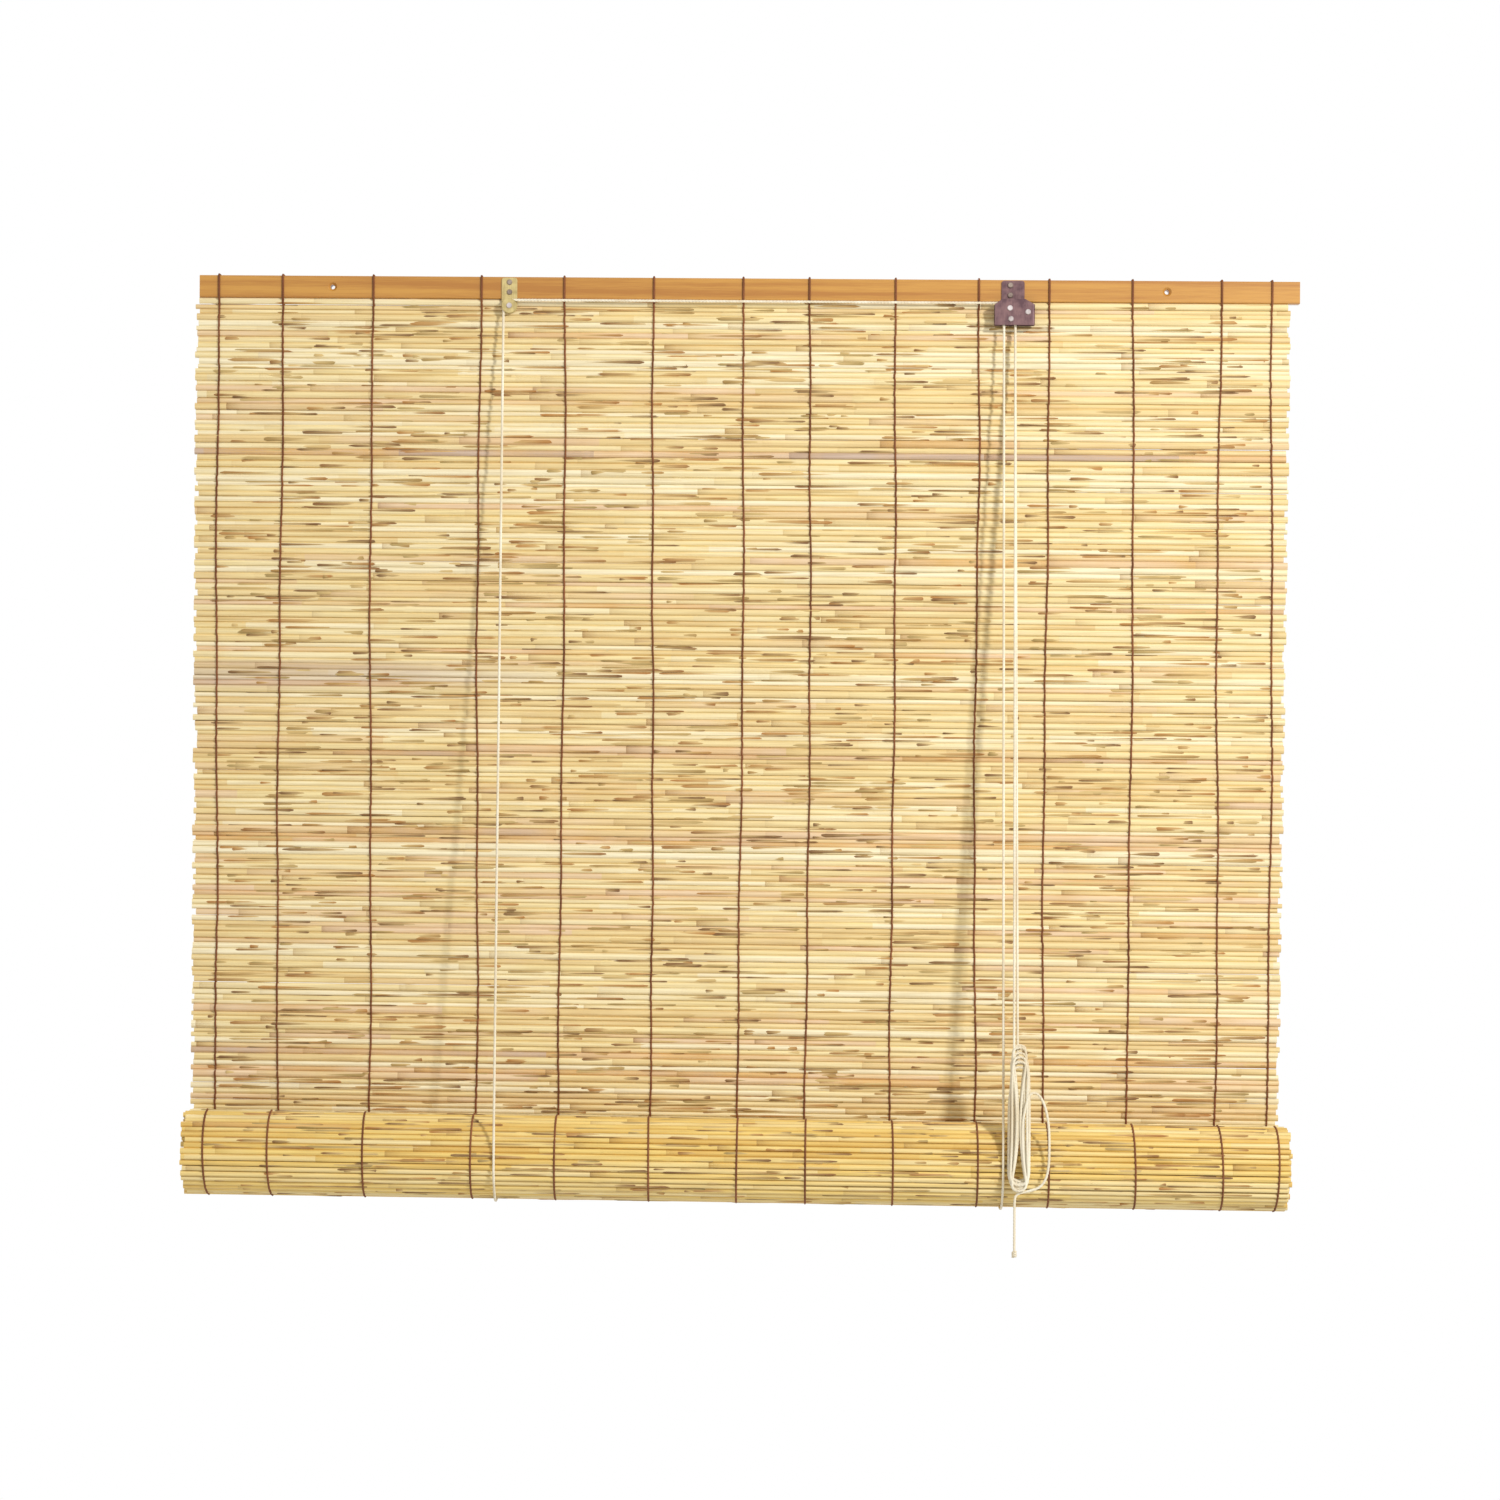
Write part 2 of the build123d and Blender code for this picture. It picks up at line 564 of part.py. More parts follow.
def cord_hank():
    """Closed outer shape of the looped pull cords."""
    points = [(hank_x + a * HANK_WIDTH, -HANK_TOP_DROP + b * HANK_LENGTH) for a, b in HANK_OUTLINE_SHARES]
    face = from_front(-hank_y - HANK_THICKNESS / 2) * make_face(Polyline(*points, close=True))
    bundle = extrude(face, amount=HANK_THICKNESS)
    broad_faces = bundle.faces().filter_by(Axis.Y)
    return chamfer(broad_faces.edges(), HANK_CHAMFER)


def hank_loop():
    """Loose loop that has slipped out of the hank on its right."""
    points = [(hank_x + a, hank_y, -HANK_TOP_DROP + b) for a, b in LOOP_ROUTE]
    radii = []
    for before, corner, after in zip(points, points[1:], points[2:]):
        first = Vector(*corner) - Vector(*before)
        second = Vector(*after) - Vector(*corner)
        shorter = min(first.length, second.length)
        radii.append(PULL_BEND_SHARE * shorter / tan(radians(first.get_angle(second) / 2)))
    return FilletPolyline(*points, radius=radii)


def main():
    """Build every piece and write it under its own name."""
    os.makedirs("parts", exist_ok=True)
    save(head_batten(), "head_batten")
    save(strap_screws(), "strap_screws")
    save(hanging_mat(), "hanging_mat")
    for number, x in enumerate(thread_places, start=1):
        save(warp_thread(x), f"warp_thread_{number:02d}")
        save(roll_thread(x), f"roll_thread_{number:02d}")
    save(rolled_mat(), "rolled_mat")
    save(bottom_batten(), "bottom_batten")

    save(pulley_bracket(), "pulley_bracket")
    save(grooved_wheel(pulley_x, pulley_wheel_width), "pulley_wheel")
    save(rivet(pulley_x, wheel_z, SHEET + pulley_wheel_width + 2 * WHEEL_SIDE_GAP), "pulley_pin")
    save(lock_housing(), "lock_housing")
    save(grooved_wheel(lock_x, lock_wheel_width), "lock_wheel")
    save(rivet(lock_x, wheel_z, lock_depth), "lock_wheel_pin")
    save(rivet(anvil_x, anvil_z, lock_depth, ANVIL_DIAMETER, lock_inner_depth), "lock_anvil")
    save(lock_cam(), "lock_cam")
    save(rivet(cam_x, cam_z, lock_depth), "lock_cam_pin")

    for side, x, lane in (("left", left_cord_x, rear_lane_y), ("right", right_cord_x, front_lane_y)):
        save(cord_tube(rear_run(x), f"{side} rear run"), f"{side}_cord_rear")
        save(cord_tube(front_run(x, lane), f"{side} front run"), f"{side}_cord_front")
        save(cord_tube(sling(x), f"{side} sling"), f"{side}_cord_sling")
        save(knot(x, rear_cord_y, BATTEN_HEIGHT / 2 - KNOT_DEPTH), f"{side}_cord_knot")
    save(cord_tube(cross_run(), "cross run"), "left_cord_cross")
    save(cord_tube(right_wrap(), "right wrap"), "right_cord_wrap")
    save(cord_tube(pull_run(rear_lane_y, 1), "left pull cord"), "left_pull_cord")
    save(cord_tube(pull_run(front_lane_y, -1), "right pull cord"), "right_pull_cord")

    save(cord_hank(), "cord_hank")
    save(cord_tube(hank_loop(), "hank loop"), "hank_loop")
    hank_low = -HANK_TOP_DROP - HANK_LENGTH
    tail_x = hank_x + TAIL_OFFSET
    tail = straight((tail_x, hank_y, hank_low), (tail_x, hank_y, hank_low - TAIL_LENGTH))
    save(cord_tube(tail, "tail"), "cord_tail")
    save(knot(tail_x, hank_y, hank_low - TAIL_LENGTH - KNOT_HEIGHT), "tail_knot")


main()
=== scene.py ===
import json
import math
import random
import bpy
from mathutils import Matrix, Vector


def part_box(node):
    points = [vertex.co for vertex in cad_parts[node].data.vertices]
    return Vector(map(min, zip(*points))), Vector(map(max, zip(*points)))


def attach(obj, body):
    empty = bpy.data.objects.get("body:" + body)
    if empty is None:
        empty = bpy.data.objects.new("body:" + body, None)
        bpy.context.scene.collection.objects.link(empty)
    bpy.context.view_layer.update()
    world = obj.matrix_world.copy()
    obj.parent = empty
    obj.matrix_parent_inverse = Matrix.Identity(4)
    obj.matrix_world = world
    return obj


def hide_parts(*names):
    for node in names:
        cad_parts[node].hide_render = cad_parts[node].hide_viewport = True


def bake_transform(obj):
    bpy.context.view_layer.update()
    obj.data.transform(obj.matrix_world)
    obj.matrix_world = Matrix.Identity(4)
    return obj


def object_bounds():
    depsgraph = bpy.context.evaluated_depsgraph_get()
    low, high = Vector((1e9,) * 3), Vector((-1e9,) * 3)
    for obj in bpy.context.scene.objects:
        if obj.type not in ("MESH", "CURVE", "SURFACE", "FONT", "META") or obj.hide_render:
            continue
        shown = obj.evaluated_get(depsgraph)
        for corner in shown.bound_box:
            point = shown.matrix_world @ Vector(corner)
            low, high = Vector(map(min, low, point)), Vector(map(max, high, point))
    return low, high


bl_info = {
    "name": "Reed roller blind",
    "version": (1, 0, 0),
    "blender": (4, 5, 0),
    "location": "3D View > Sidebar > Blind",
    "description": "Dresses the reed roller blind with reeds, threads, cords and finishes",
    "category": "Object",
}

from typing import NamedTuple

import bpy
from bpy.props import FloatProperty, FloatVectorProperty, IntProperty, PointerProperty
from mathutils import Matrix, Vector

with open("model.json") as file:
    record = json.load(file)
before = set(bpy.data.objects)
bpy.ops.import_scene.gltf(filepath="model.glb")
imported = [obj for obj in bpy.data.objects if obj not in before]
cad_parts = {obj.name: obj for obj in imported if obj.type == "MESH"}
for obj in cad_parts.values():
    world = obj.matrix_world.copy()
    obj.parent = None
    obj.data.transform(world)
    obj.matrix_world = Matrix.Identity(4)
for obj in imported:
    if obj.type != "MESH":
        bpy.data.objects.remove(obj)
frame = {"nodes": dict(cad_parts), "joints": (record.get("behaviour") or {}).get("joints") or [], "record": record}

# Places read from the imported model, in metres
cad_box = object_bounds()
joints = {joint["name"]: joint for joint in frame["joints"]}
ratios = {link["joint"]: link["ratio"] for link in frame["record"]["behaviour"]["couplings"]}
batten_low, batten_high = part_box("head_batten")
mat_low, mat_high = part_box("hanging_mat")
mat_x = (mat_low.x + mat_high.x) / 2
mat_y = (mat_low.y + mat_high.y) / 2
mat_half = (mat_high.x - mat_low.x) / 2
mat_top = mat_high.z
roll_centre = Vector(joints["roll_turn"]["pos_m"])
roll_axis = Vector(joints["roll_turn"]["axis"])
roll_slope = roll_axis.z / roll_axis.x
winding_radius = 1 / abs(ratios["roll_turn"])
roll_low, roll_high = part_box("rolled_mat")
roll_half = (roll_high.x - roll_low.x) / 2
thread_places = [sum(c.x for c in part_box(f"warp_thread_{n:02d}")) / 2 for n in range(1, 15)]

# Cord routes, the same as the solid cords follow
CORD_DIAMETER = 0.003
STRANDS = 3
STRAND_RADIUS = 0.265 * CORD_DIAMETER
STRAND_OFFSET = 0.235 * CORD_DIAMETER
TWIST_STEPS = 8
LANES = {"left": -0.0203, "right": -0.0237}
CORD_X = {"left": -0.2682, "right": 0.276842}
PULL_X = 0.289342
WHEEL_X = {"left": -0.26195, "right": 0.283092}
WHEEL_Z = -0.0199
WHEEL_PITCH = 0.00625
WRAP_END_Z = -0.0219
REAR_Y = -0.00445
FRONT_Y = -0.10305
REAR_TOP_Z = 0.004
SLING_REAR_RISE = 0.010
SLING_FRONT_RISE = 0.024
LOCK_MOUTH_Z = -0.0459
PULL_LEAD = 0.018
HANK = Vector((0.293342, -0.10835, -0.817))
PULL_ENDS = {"left": (0.291342, -0.10715, -0.8260), "right": (0.287342, -0.10955, -0.8260)}

# Degrees between the corners of a route that a cord's line rounds off to an arc
ARC_STEP = 45

# Knots: turns of the cord and steps along them, their radius and height, and the top over a rear run's top
KNOT_TURNS = 2.5
KNOT_STEPS = 30
KNOT_RADIUS = 0.0017
KNOT_HEIGHT = 0.0055
KNOT_RISE = 0.0057

# Turns of the hank, measured from its top: towards the wall, left side, right side, share of that width
# left halfway down, upper end, lower end
HANK_TURNS = (
    (0.0044, -0.0110, 0.0112, 1.00, -0.013, -0.149),
    (0.0044, -0.0090, 0.0092, 0.46, -0.003, -0.144),
    (0.0042, -0.0084, 0.0084, 0.04, 0.001, -0.155),
    (0.0016, -0.0102, 0.0104, 0.84, -0.018, -0.152),
    (0.0014, -0.0084, 0.0086, 0.22, -0.007, -0.145),
    (-0.0014, -0.0106, 0.0108, 0.98, -0.022, -0.147),
    (-0.0015, -0.0090, 0.0088, 0.52, -0.001, -0.152),
    (-0.0016, -0.0084, 0.0084, 0.06, -0.011, -0.150),
    (-0.0043, -0.0098, 0.0100, 0.80, -0.016, -0.148),
    (-0.0044, -0.0086, 0.0084, 0.30, -0.009, -0.154),
)

# Width of a turn's upper fold, where its sides draw in as shares of its drop, and how far to the waist there
HANK_TOP_SHARE = 0.88
HANK_SIDE_DROPS = (0.25, 0.52, 0.79)
HANK_WAIST_PULL = 0.65

# Loose loop out of the hank and the tail, measured from the hank's top
LOOP_ROUTE = (
    (0.0068, -0.0044, -0.062), (0.0100, -0.0044, -0.0505), (0.0185, -0.0032, -0.0485),
    (0.0265, -0.0012, -0.060), (0.0315, -0.0005, -0.081), (0.0325, -0.0005, -0.108),
    (0.0315, -0.0005, -0.135), (0.0245, -0.0005, -0.150), (0.0110, -0.0005, -0.1545),
)
TAIL_ROUTE = (
    (-0.0038, 0.0, -0.1575), (-0.0046, 0.0, -0.168), (-0.0045, 0.0, -0.186), (-0.0045, 0.0, -0.2195),
)

# Dry sheaths: longest reach from the thick end, how near to a reed's end one may start, how far one swings
# about the reed, its thickness and stretch, and its outlines as distance and share of the reed's radius
SHEATH_REACH = 0.088
SHEATH_MARGIN = 0.015
SHEATH_SWING = 0.75
SHEATH_THICKNESS = (0.90, 1.08)
SHEATH_STRETCH = (0.3, 1.5)
SHEATH_STRETCH_POWER = 1.4
SHEATH_OUTLINES = (
    ((0.0, 0.38), (0.003, 0.52), (0.022, 0.44), (0.050, 0.22)),
    ((0.0, 0.30), (0.005, 0.49), (0.028, 0.46), (0.044, 0.22)),
)

# Reeds: how much thicker one is than its share of the mat's height, so that little light shows through, then
# where its two joints lie, how long and swollen they are, its taper, its sway and its tone
REED_OVERLAP = 1.14
REED_SHAPES = 9
REED_SIDES = 6
JOINT_PLACES = (0.1, 0.7)
JOINT_HALF = 0.012
JOINT_SWELL = 1.10
REED_TAPER = (0.02, 0.08)
REED_SWAY = 0.0005
SWAY_WAVES = 2.6
SWAY_DEPTH_SHARE = 0.3
TONE_MEAN = 0.36
TONE_SPREAD = 0.20
TONE_MOST = 0.98

# Roll: radius of its core, sideways scatter of its reeds and their thickness
ROLL_CORE = 0.016
ROLL_SCATTER = 0.002
ROLL_THICKNESS = (0.95, 1.09)

# Threads: overlap of two bands, sideways drift as waves of least and most pace and share of the whole,
# jitter, shares of a reed's radius on its crest and in the valley, shares of the thread's own radius that it
# stands proud, and its loop over the batten
THREAD_OVERLAP = 0.009
DRIFT_WAVES = ((5, 9, 0.7), (18, 30, 0.3))
THREAD_JITTER = 0.00035
CREST_SHARE = 0.4
VALLEY_DROP_SHARE = 0.92
VALLEY_SHARE = 0.6
RING_VALLEY_SHARE = 0.62
THREAD_PROUD_SHARE = 0.3
RING_PROUD_SHARE = 0.4
LOOP_PROUD_SHARE = 0.8
LOOP_THICKNESS = 1.15
LOOP_TUCK = 0.009
LOOP_LEAVE = 0.004
LOOP_MEET = 0.001
LOOP_CORNER = 0.002

# Smallest angles that stay sharp on stems and on cords
STEM_SHARP = math.radians(75)
CORD_SHARP = math.radians(60)

# Stage: floor, light of the surround, camera, and lamps as turn, rise, distance, size and power
FLOOR_SIZE = 9
FLOOR_SHADE_SHARE = 0.96
SURROUND_LIGHT = 0.58
CAMERA_X = 0.0033
CAMERA_Z = -0.5023
CAMERA_ROLL = math.radians(0.36)
LAMPS = {"key": (37, 24, 4.2, 0.30, 110), "rear fill": (205, 30, 4.2, 1.6, 46)}

ROW_SEED = 11
REED_SEED = 23
THREAD_SEED = 37
ROLL_SEED = 53
SHEATH_SEED = 71


def tint(red, green, blue):
    """Linear colour, with full opacity, from display values of 0 to 255."""
    shares = [value / 255 for value in (red, green, blue)]
    linear = [s / 12.92 if s <= 0.04045 else ((s + 0.055) / 1.055) ** 2.4 for s in shares]
    return (*linear, 1.0)


def grey(level):
    """Linear grey from a display value of 0 to 255."""
    return tint(level, level, level)


def length(name, description, default):
    """Length property in metres."""
    return FloatProperty(name=name, description=description, default=default, unit="LENGTH", precision=4)


def colour(name, description, default):
    """Colour property."""
    return FloatVectorProperty(
        name=name, description=description, default=default, size=4, subtype="COLOR", min=0.0, max=1.0
    )


class BlindSizes(bpy.types.PropertyGroup):
    """Sizes of the blind's visible pieces"""

    reed_radius: length("Reed radius", "Mean radius of a reed", 0.0031)
    reed_spread: length("Reed spread", "How far a reed's radius may depart from the mean", 0.0008)
    reed_end: length("Ragged ends", "How far a reed may end short of the mat's edge", 0.005)
    right_drift: length("Right edge drift", "How far the right edge draws in at the foot", 0.009)
    sheath_shift: length("Sheath shift", "How far a dry sheath stands off its reed's middle", 0.0019)
    thread_radius: length("Thread radius", "Half the thickness of a warp thread", 0.00105)
    thread_wander: length("Thread wander", "How far a warp thread strays sideways", 0.0022)
    cord_lay: length("Cord lay", "Length of one full twist of the cord", 0.011)
    turn_gap: length("Turn gap", "Room between two turns of the roll", 0.0005)
    camera_distance: length("Camera distance", "From the camera to the mat", 4.49)
    picture_width: length("Picture width", "Width of the picture at the mat", 1.638)
    floor_drop: length("Floor drop", "Floor below the batten", 2.95)
    bands: IntProperty(name="Bands", description="Bands of the mat that draw together", default=12, min=4)
    front_sheaths: IntProperty(name="Front sheaths", description="Dry sheaths on the front", default=2700)
    back_sheaths: IntProperty(name="Back sheaths", description="Dry sheaths on the back", default=1500)
    roll_sheaths: IntProperty(name="Roll sheaths", description="Dry sheaths on the roll", default=900)


class BlindColours(bpy.types.PropertyGroup):
    """Colours of the blind's finishes"""

    reed_cream: colour("Cream reed", "Palest reeds", tint(255, 243, 206))
    reed_straw: colour("Straw reed", "Most of the reeds", tint(250, 230, 172))
    reed_tan: colour("Tan reed", "Darker reeds", tint(240, 212, 152))
    reed_rose: colour("Rose reed", "Pinkish reeds", tint(244, 216, 180))
    reed_mauve: colour("Mauve reed", "Weathered reeds", tint(210, 186, 166))
    reed_amber: colour("Amber reed", "Orange reeds", tint(232, 190, 122))
    roll_gold: colour("Golden reed", "Most of the reeds on the roll", tint(247, 216, 130))
    roll_honey: colour("Honey reed", "Darker reeds on the roll", tint(230, 188, 102))
    joint_brown: colour("Reed joint", "Dark end of a reed's joint", tint(150, 104, 52))
    sheath_pale: colour("Pale sheath", "Thin ends of the leaf sheaths", tint(226, 196, 134))
    sheath_dark: colour("Dark sheath", "Brown leaf sheaths", tint(128, 92, 54))
    sheath_rust: colour("Rusty sheath", "Orange leaf sheaths", tint(186, 130, 68))
    sheath_olive: colour("Olive sheath", "Greenish leaf sheaths", tint(166, 140, 84))
    thread_brown: colour("Thread", "Brown warp threads", tint(112, 64, 34))
    thread_rust: colour("Rusty thread", "Faded stretches of thread", tint(156, 98, 60))
    batten_light: colour("Batten", "Varnished batten", tint(205, 149, 66))
    batten_dark: colour("Batten grain", "Dark grain of the batten", tint(180, 120, 48))
    slat_light: colour("Slat", "Plain slat in the roll", tint(214, 178, 122))
    slat_dark: colour("Slat grain", "Dark grain of the slat", tint(176, 134, 82))
    cord_light: colour("Cord", "Off-white cord", tint(250, 243, 222))
    cord_dark: colour("Cord shade", "Soiled stretches of cord", tint(226, 208, 172))
    zinc_light: colour("Zinc", "Yellow zinc plate", tint(220, 200, 138))
    zinc_dark: colour("Zinc shade", "Dull patches of the plate", tint(182, 162, 108))
    bronze_light: colour("Bronze", "Rubbed bronze", tint(130, 98, 98))
    bronze_dark: colour("Bronze shade", "Dark bronze", tint(88, 60, 66))
    steel_light: colour("Steel", "Bright rivets and screws", tint(232, 222, 220))
    steel_dark: colour("Steel shade", "Dull patches of the steel", tint(176, 164, 160))
    screw_light: colour("Screw", "Dull screw heads", tint(168, 152, 138))
    screw_dark: colour("Screw shade", "Tarnished screw heads", tint(120, 104, 96))
    floor_pale: colour("Floor", "Pale floor", tint(246, 245, 243))


# Materials


class Pattern(NamedTuple):
    """Two-tone pattern of a finish: coarse patches with a fine grain in them

    Patches and grain are changes a metre along x, y and z, each with its detail. Then come the grain's
    share, the places of the two tones, and the strength and depth of the grain's relief.
    """

    coarse: tuple
    coarse_detail: float
    fine: tuple
    fine_detail: float
    grain: float
    places: tuple
    relief: float
    depth: float


THREAD_PATTERN = Pattern(
    coarse=(37.0, 3.0, 16.0), coarse_detail=2.0, fine=(1500.0, 1500.0, 900.0), fine_detail=3.0,
    grain=0.5, places=(0.35, 0.85), relief=0.5, depth=0.0005,
)
CORD_PATTERN = Pattern(
    coarse=(60.0, 60.0, 14.0), coarse_detail=3.0, fine=(2600.0, 2600.0, 2600.0), fine_detail=2.0,
    grain=0.3, places=(0.35, 0.80), relief=0.4, depth=0.0003,
)
WOOD_PATTERN = Pattern(
    coarse=(2.2, 130.0, 130.0), coarse_detail=5.0, fine=(40.0, 1400.0, 1400.0), fine_detail=3.0,
    grain=0.35, places=(0.36, 0.62), relief=0.25, depth=0.0003,
)
METAL_PATTERN = Pattern(
    coarse=(120.0, 120.0, 120.0), coarse_detail=4.0, fine=(900.0, 900.0, 90.0), fine_detail=3.0,
    grain=0.4, places=(0.32, 0.68), relief=0.15, depth=0.0002,
)

# Reed finish: joints a metre at least and how many more at most, how far their count is shifted, how far a
# length's own tone and a slow drift move a reed's tone, and the changes a metre of its patterns
JOINTS_LEAST = 3.6
JOINTS_SPREAD = 4.0
JOINTS_SHIFT = 40.0
OWN_TONE = 0.42
SLOW_TONE = 0.5
SLOW_SPACING = 61.0
REED_SLOW = (9.0, 0.0, 0.0)
REED_FIBRES = (14.0, 700.0, 700.0)
SHEATH_FIBRES = (60.0, 500.0, 500.0)
SHEATH_FADE = 0.85

# Weathered streak of the mat: axis, where it starts and where it is full, and its patches
WEATHERED_STEPS = (("Z", -0.404, -0.412), ("Z", -0.445, -0.432), ("X", -0.10, -0.42))
WEATHERED_PATCHES = (9.0, 0.0, 160.0)
FLOOR_GRAIN = (3.0, 3.0, 3.0)

# How far the dullness of a metal goes to either side
DULLNESS_SPREAD = 14


def start_material(name):
    """New material with one principled shader; gives the material, its tree and the shader."""
    material = bpy.data.materials.new(name)
    material.use_nodes = True
    tree = material.node_tree
    tree.nodes.clear()
    shader = tree.nodes.new("ShaderNodeBsdfPrincipled")
    output = tree.nodes.new("ShaderNodeOutputMaterial")
    tree.links.new(shader.outputs["BSDF"], output.inputs["Surface"])
    return material, tree, shader


def add_node(tree, kind, inputs=(), **settings):
    """New node with its settings, and its inputs linked or set."""
    node = tree.nodes.new(kind)
    for name, value in settings.items():
        setattr(node, name, value)
    for socket, value in dict(inputs).items():
        if isinstance(value, bpy.types.NodeSocket):
            tree.links.new(value, node.inputs[socket])
        else:
            node.inputs[socket].default_value = value
    return node


def stretched_noise(tree, scale, detail, seed=None):
    """Noise on object coordinates, drawn out differently along each axis."""
    coords = add_node(tree, "ShaderNodeTexCoord")
    mapping = add_node(tree, "ShaderNodeMapping", {"Vector": coords.outputs["Object"], "Scale": scale})
    inputs = {"Vector": mapping.outputs["Vector"], "Scale": 1.0, "Detail": detail}
    if seed is None:
        return add_node(tree, "ShaderNodeTexNoise", inputs).outputs["Fac"]
    inputs["W"] = seed
    return add_node(tree, "ShaderNodeTexNoise", inputs, noise_dimensions="4D").outputs["Fac"]


def maths(tree, operation, first, second, clamp=False):
    """Result of one sum on two values."""
    node = add_node(tree, "ShaderNodeMath", {0: first, 1: second}, operation=operation, use_clamp=clamp)
    return node.outputs["Value"]


def around_zero(tree, value, reach):
    """Value of 0 to 1 moved to lie evenly about zero."""
    return maths(tree, "MULTIPLY", maths(tree, "SUBTRACT", value, 0.5), reach)


def ramp(tree, factor, stops):
    """Colour ramp with its stops as (place, colour)."""
    node = add_node(tree, "ShaderNodeValToRGB", {"Fac": factor})
    elements = node.color_ramp.elements
    while len(elements) < len(stops):
        elements.new(1.0)
    for element, (place, value) in zip(elements, stops):
        element.position = place
        element.color = value
    return node.outputs["Color"]


def mix(tree, factor, first, second, blend="MIX"):
    """Two colours mixed by a factor."""
    inputs = {0: factor, 6: first, 7: second}
    return add_node(tree, "ShaderNodeMix", inputs, data_type="RGBA", blend_type=blend).outputs[2]


def bump(tree, shader, height, strength, distance):
    """Fine relief of a surface."""
    node = add_node(tree, "ShaderNodeBump", {"Height": height, "Strength": strength, "Distance": distance})
    tree.links.new(node.outputs["Normal"], shader.inputs["Normal"])


def attribute(tree, name):
    """Value that each piece of a mesh carries with it."""
    return add_node(tree, "ShaderNodeAttribute", attribute_name=name).outputs["Fac"]


def reed_finish(name, stops, joint, weathered=None):
    """Dry reed: each length between two joints has its own tone and fades from a dark joint."""
    material, tree, shader = start_material(name)
    tone = attribute(tree, "tone")
    chance = add_node(tree, "ShaderNodeTexWhiteNoise", {"W": tone}, noise_dimensions="1D")
    chances = add_node(tree, "ShaderNodeSeparateColor", {"Color": chance.outputs["Color"]})
    coords = add_node(tree, "ShaderNodeTexCoord")
    along = add_node(tree, "ShaderNodeSeparateXYZ", {"Vector": coords.outputs["Object"]}).outputs["X"]
    more_joints = maths(tree, "MULTIPLY", chances.outputs["Green"], JOINTS_SPREAD)
    per_metre = maths(tree, "ADD", more_joints, JOINTS_LEAST)
    shift = maths(tree, "MULTIPLY", chances.outputs["Red"], JOINTS_SHIFT)
    counted = maths(tree, "ADD", maths(tree, "MULTIPLY", along, per_metre), shift)
    number = maths(tree, "FLOOR", counted, 0.0)
    share = maths(tree, "FRACT", counted, 0.0)
    chance = maths(tree, "ADD", number, tone)
    own = add_node(tree, "ShaderNodeTexWhiteNoise", {"W": chance}, noise_dimensions="1D").outputs["Value"]
    slow = stretched_noise(tree, REED_SLOW, 3.0, maths(tree, "MULTIPLY", tone, SLOW_SPACING))
    shifted = maths(tree, "ADD", tone, around_zero(tree, own, OWN_TONE))
    shifted = maths(tree, "ADD", shifted, around_zero(tree, slow, SLOW_TONE))
    tinted = ramp(tree, shifted, stops)
    if weathered is not None:
        tinted = mix(tree, weathered_band(tree), tinted, weathered)
    fibres = stretched_noise(tree, REED_FIBRES, 4.0)
    shade = ramp(tree, fibres, ((0.30, tint(232, 226, 216)), (0.62, grey(255))))
    tinted = mix(tree, 1.0, tinted, shade, "MULTIPLY")
    fade = ramp(tree, share, ((0.0, grey(230)), (0.02, grey(190)), (0.10, grey(110)), (0.32, grey(0))))
    strength = maths(tree, "MULTIPLY", own, own)
    tinted = mix(tree, maths(tree, "MULTIPLY", fade, strength), tinted, joint)
    tree.links.new(tinted, shader.inputs["Base Color"])
    rough = ramp(tree, fibres, ((0.2, grey(196)), (0.8, grey(150))))
    tree.links.new(rough, shader.inputs["Roughness"])
    shader.inputs["Specular IOR Level"].default_value = 0.35
    bump(tree, shader, fibres, 0.35, 0.0004)
    return material


def weathered_band(tree):
    """Share of weathering: a grey streak across the left half of the mat."""
    coords = add_node(tree, "ShaderNodeTexCoord")
    split = add_node(tree, "ShaderNodeSeparateXYZ", {"Vector": coords.outputs["Object"]})
    level = None
    for axis, start, end in WEATHERED_STEPS:
        inputs = {"Value": split.outputs[axis], "From Min": start, "From Max": end}
        step = add_node(tree, "ShaderNodeMapRange", interpolation_type="SMOOTHSTEP", inputs=inputs)
        share = step.outputs["Result"]
        level = share if level is None else maths(tree, "MULTIPLY", level, share)
    patches = stretched_noise(tree, WEATHERED_PATCHES, 2.0)
    return maths(tree, "MULTIPLY", level, patches, clamp=True)


def sheath_finish(name, colours):
    """Dry leaf sheath: brown, rusty or olive at its thick end, paler towards its thin end."""
    material, tree, shader = start_material(name)
    tone = attribute(tree, "tone")
    hue = ramp(tree, tone, (
        (0.15, colours.sheath_dark), (0.45, colours.sheath_rust),
        (0.72, colours.sheath_olive), (1.0, colours.sheath_pale),
    ))
    fibres = stretched_noise(tree, SHEATH_FIBRES, 3.0)
    level = maths(tree, "ADD", attribute(tree, "thin"), maths(tree, "SUBTRACT", fibres, 0.5))
    thinned = maths(tree, "MULTIPLY", level, SHEATH_FADE, clamp=True)
    tree.links.new(mix(tree, thinned, hue, colours.sheath_pale), shader.inputs["Base Color"])
    shader.inputs["Roughness"].default_value = 0.75
    bump(tree, shader, fibres, 0.4, 0.0004)
    return material


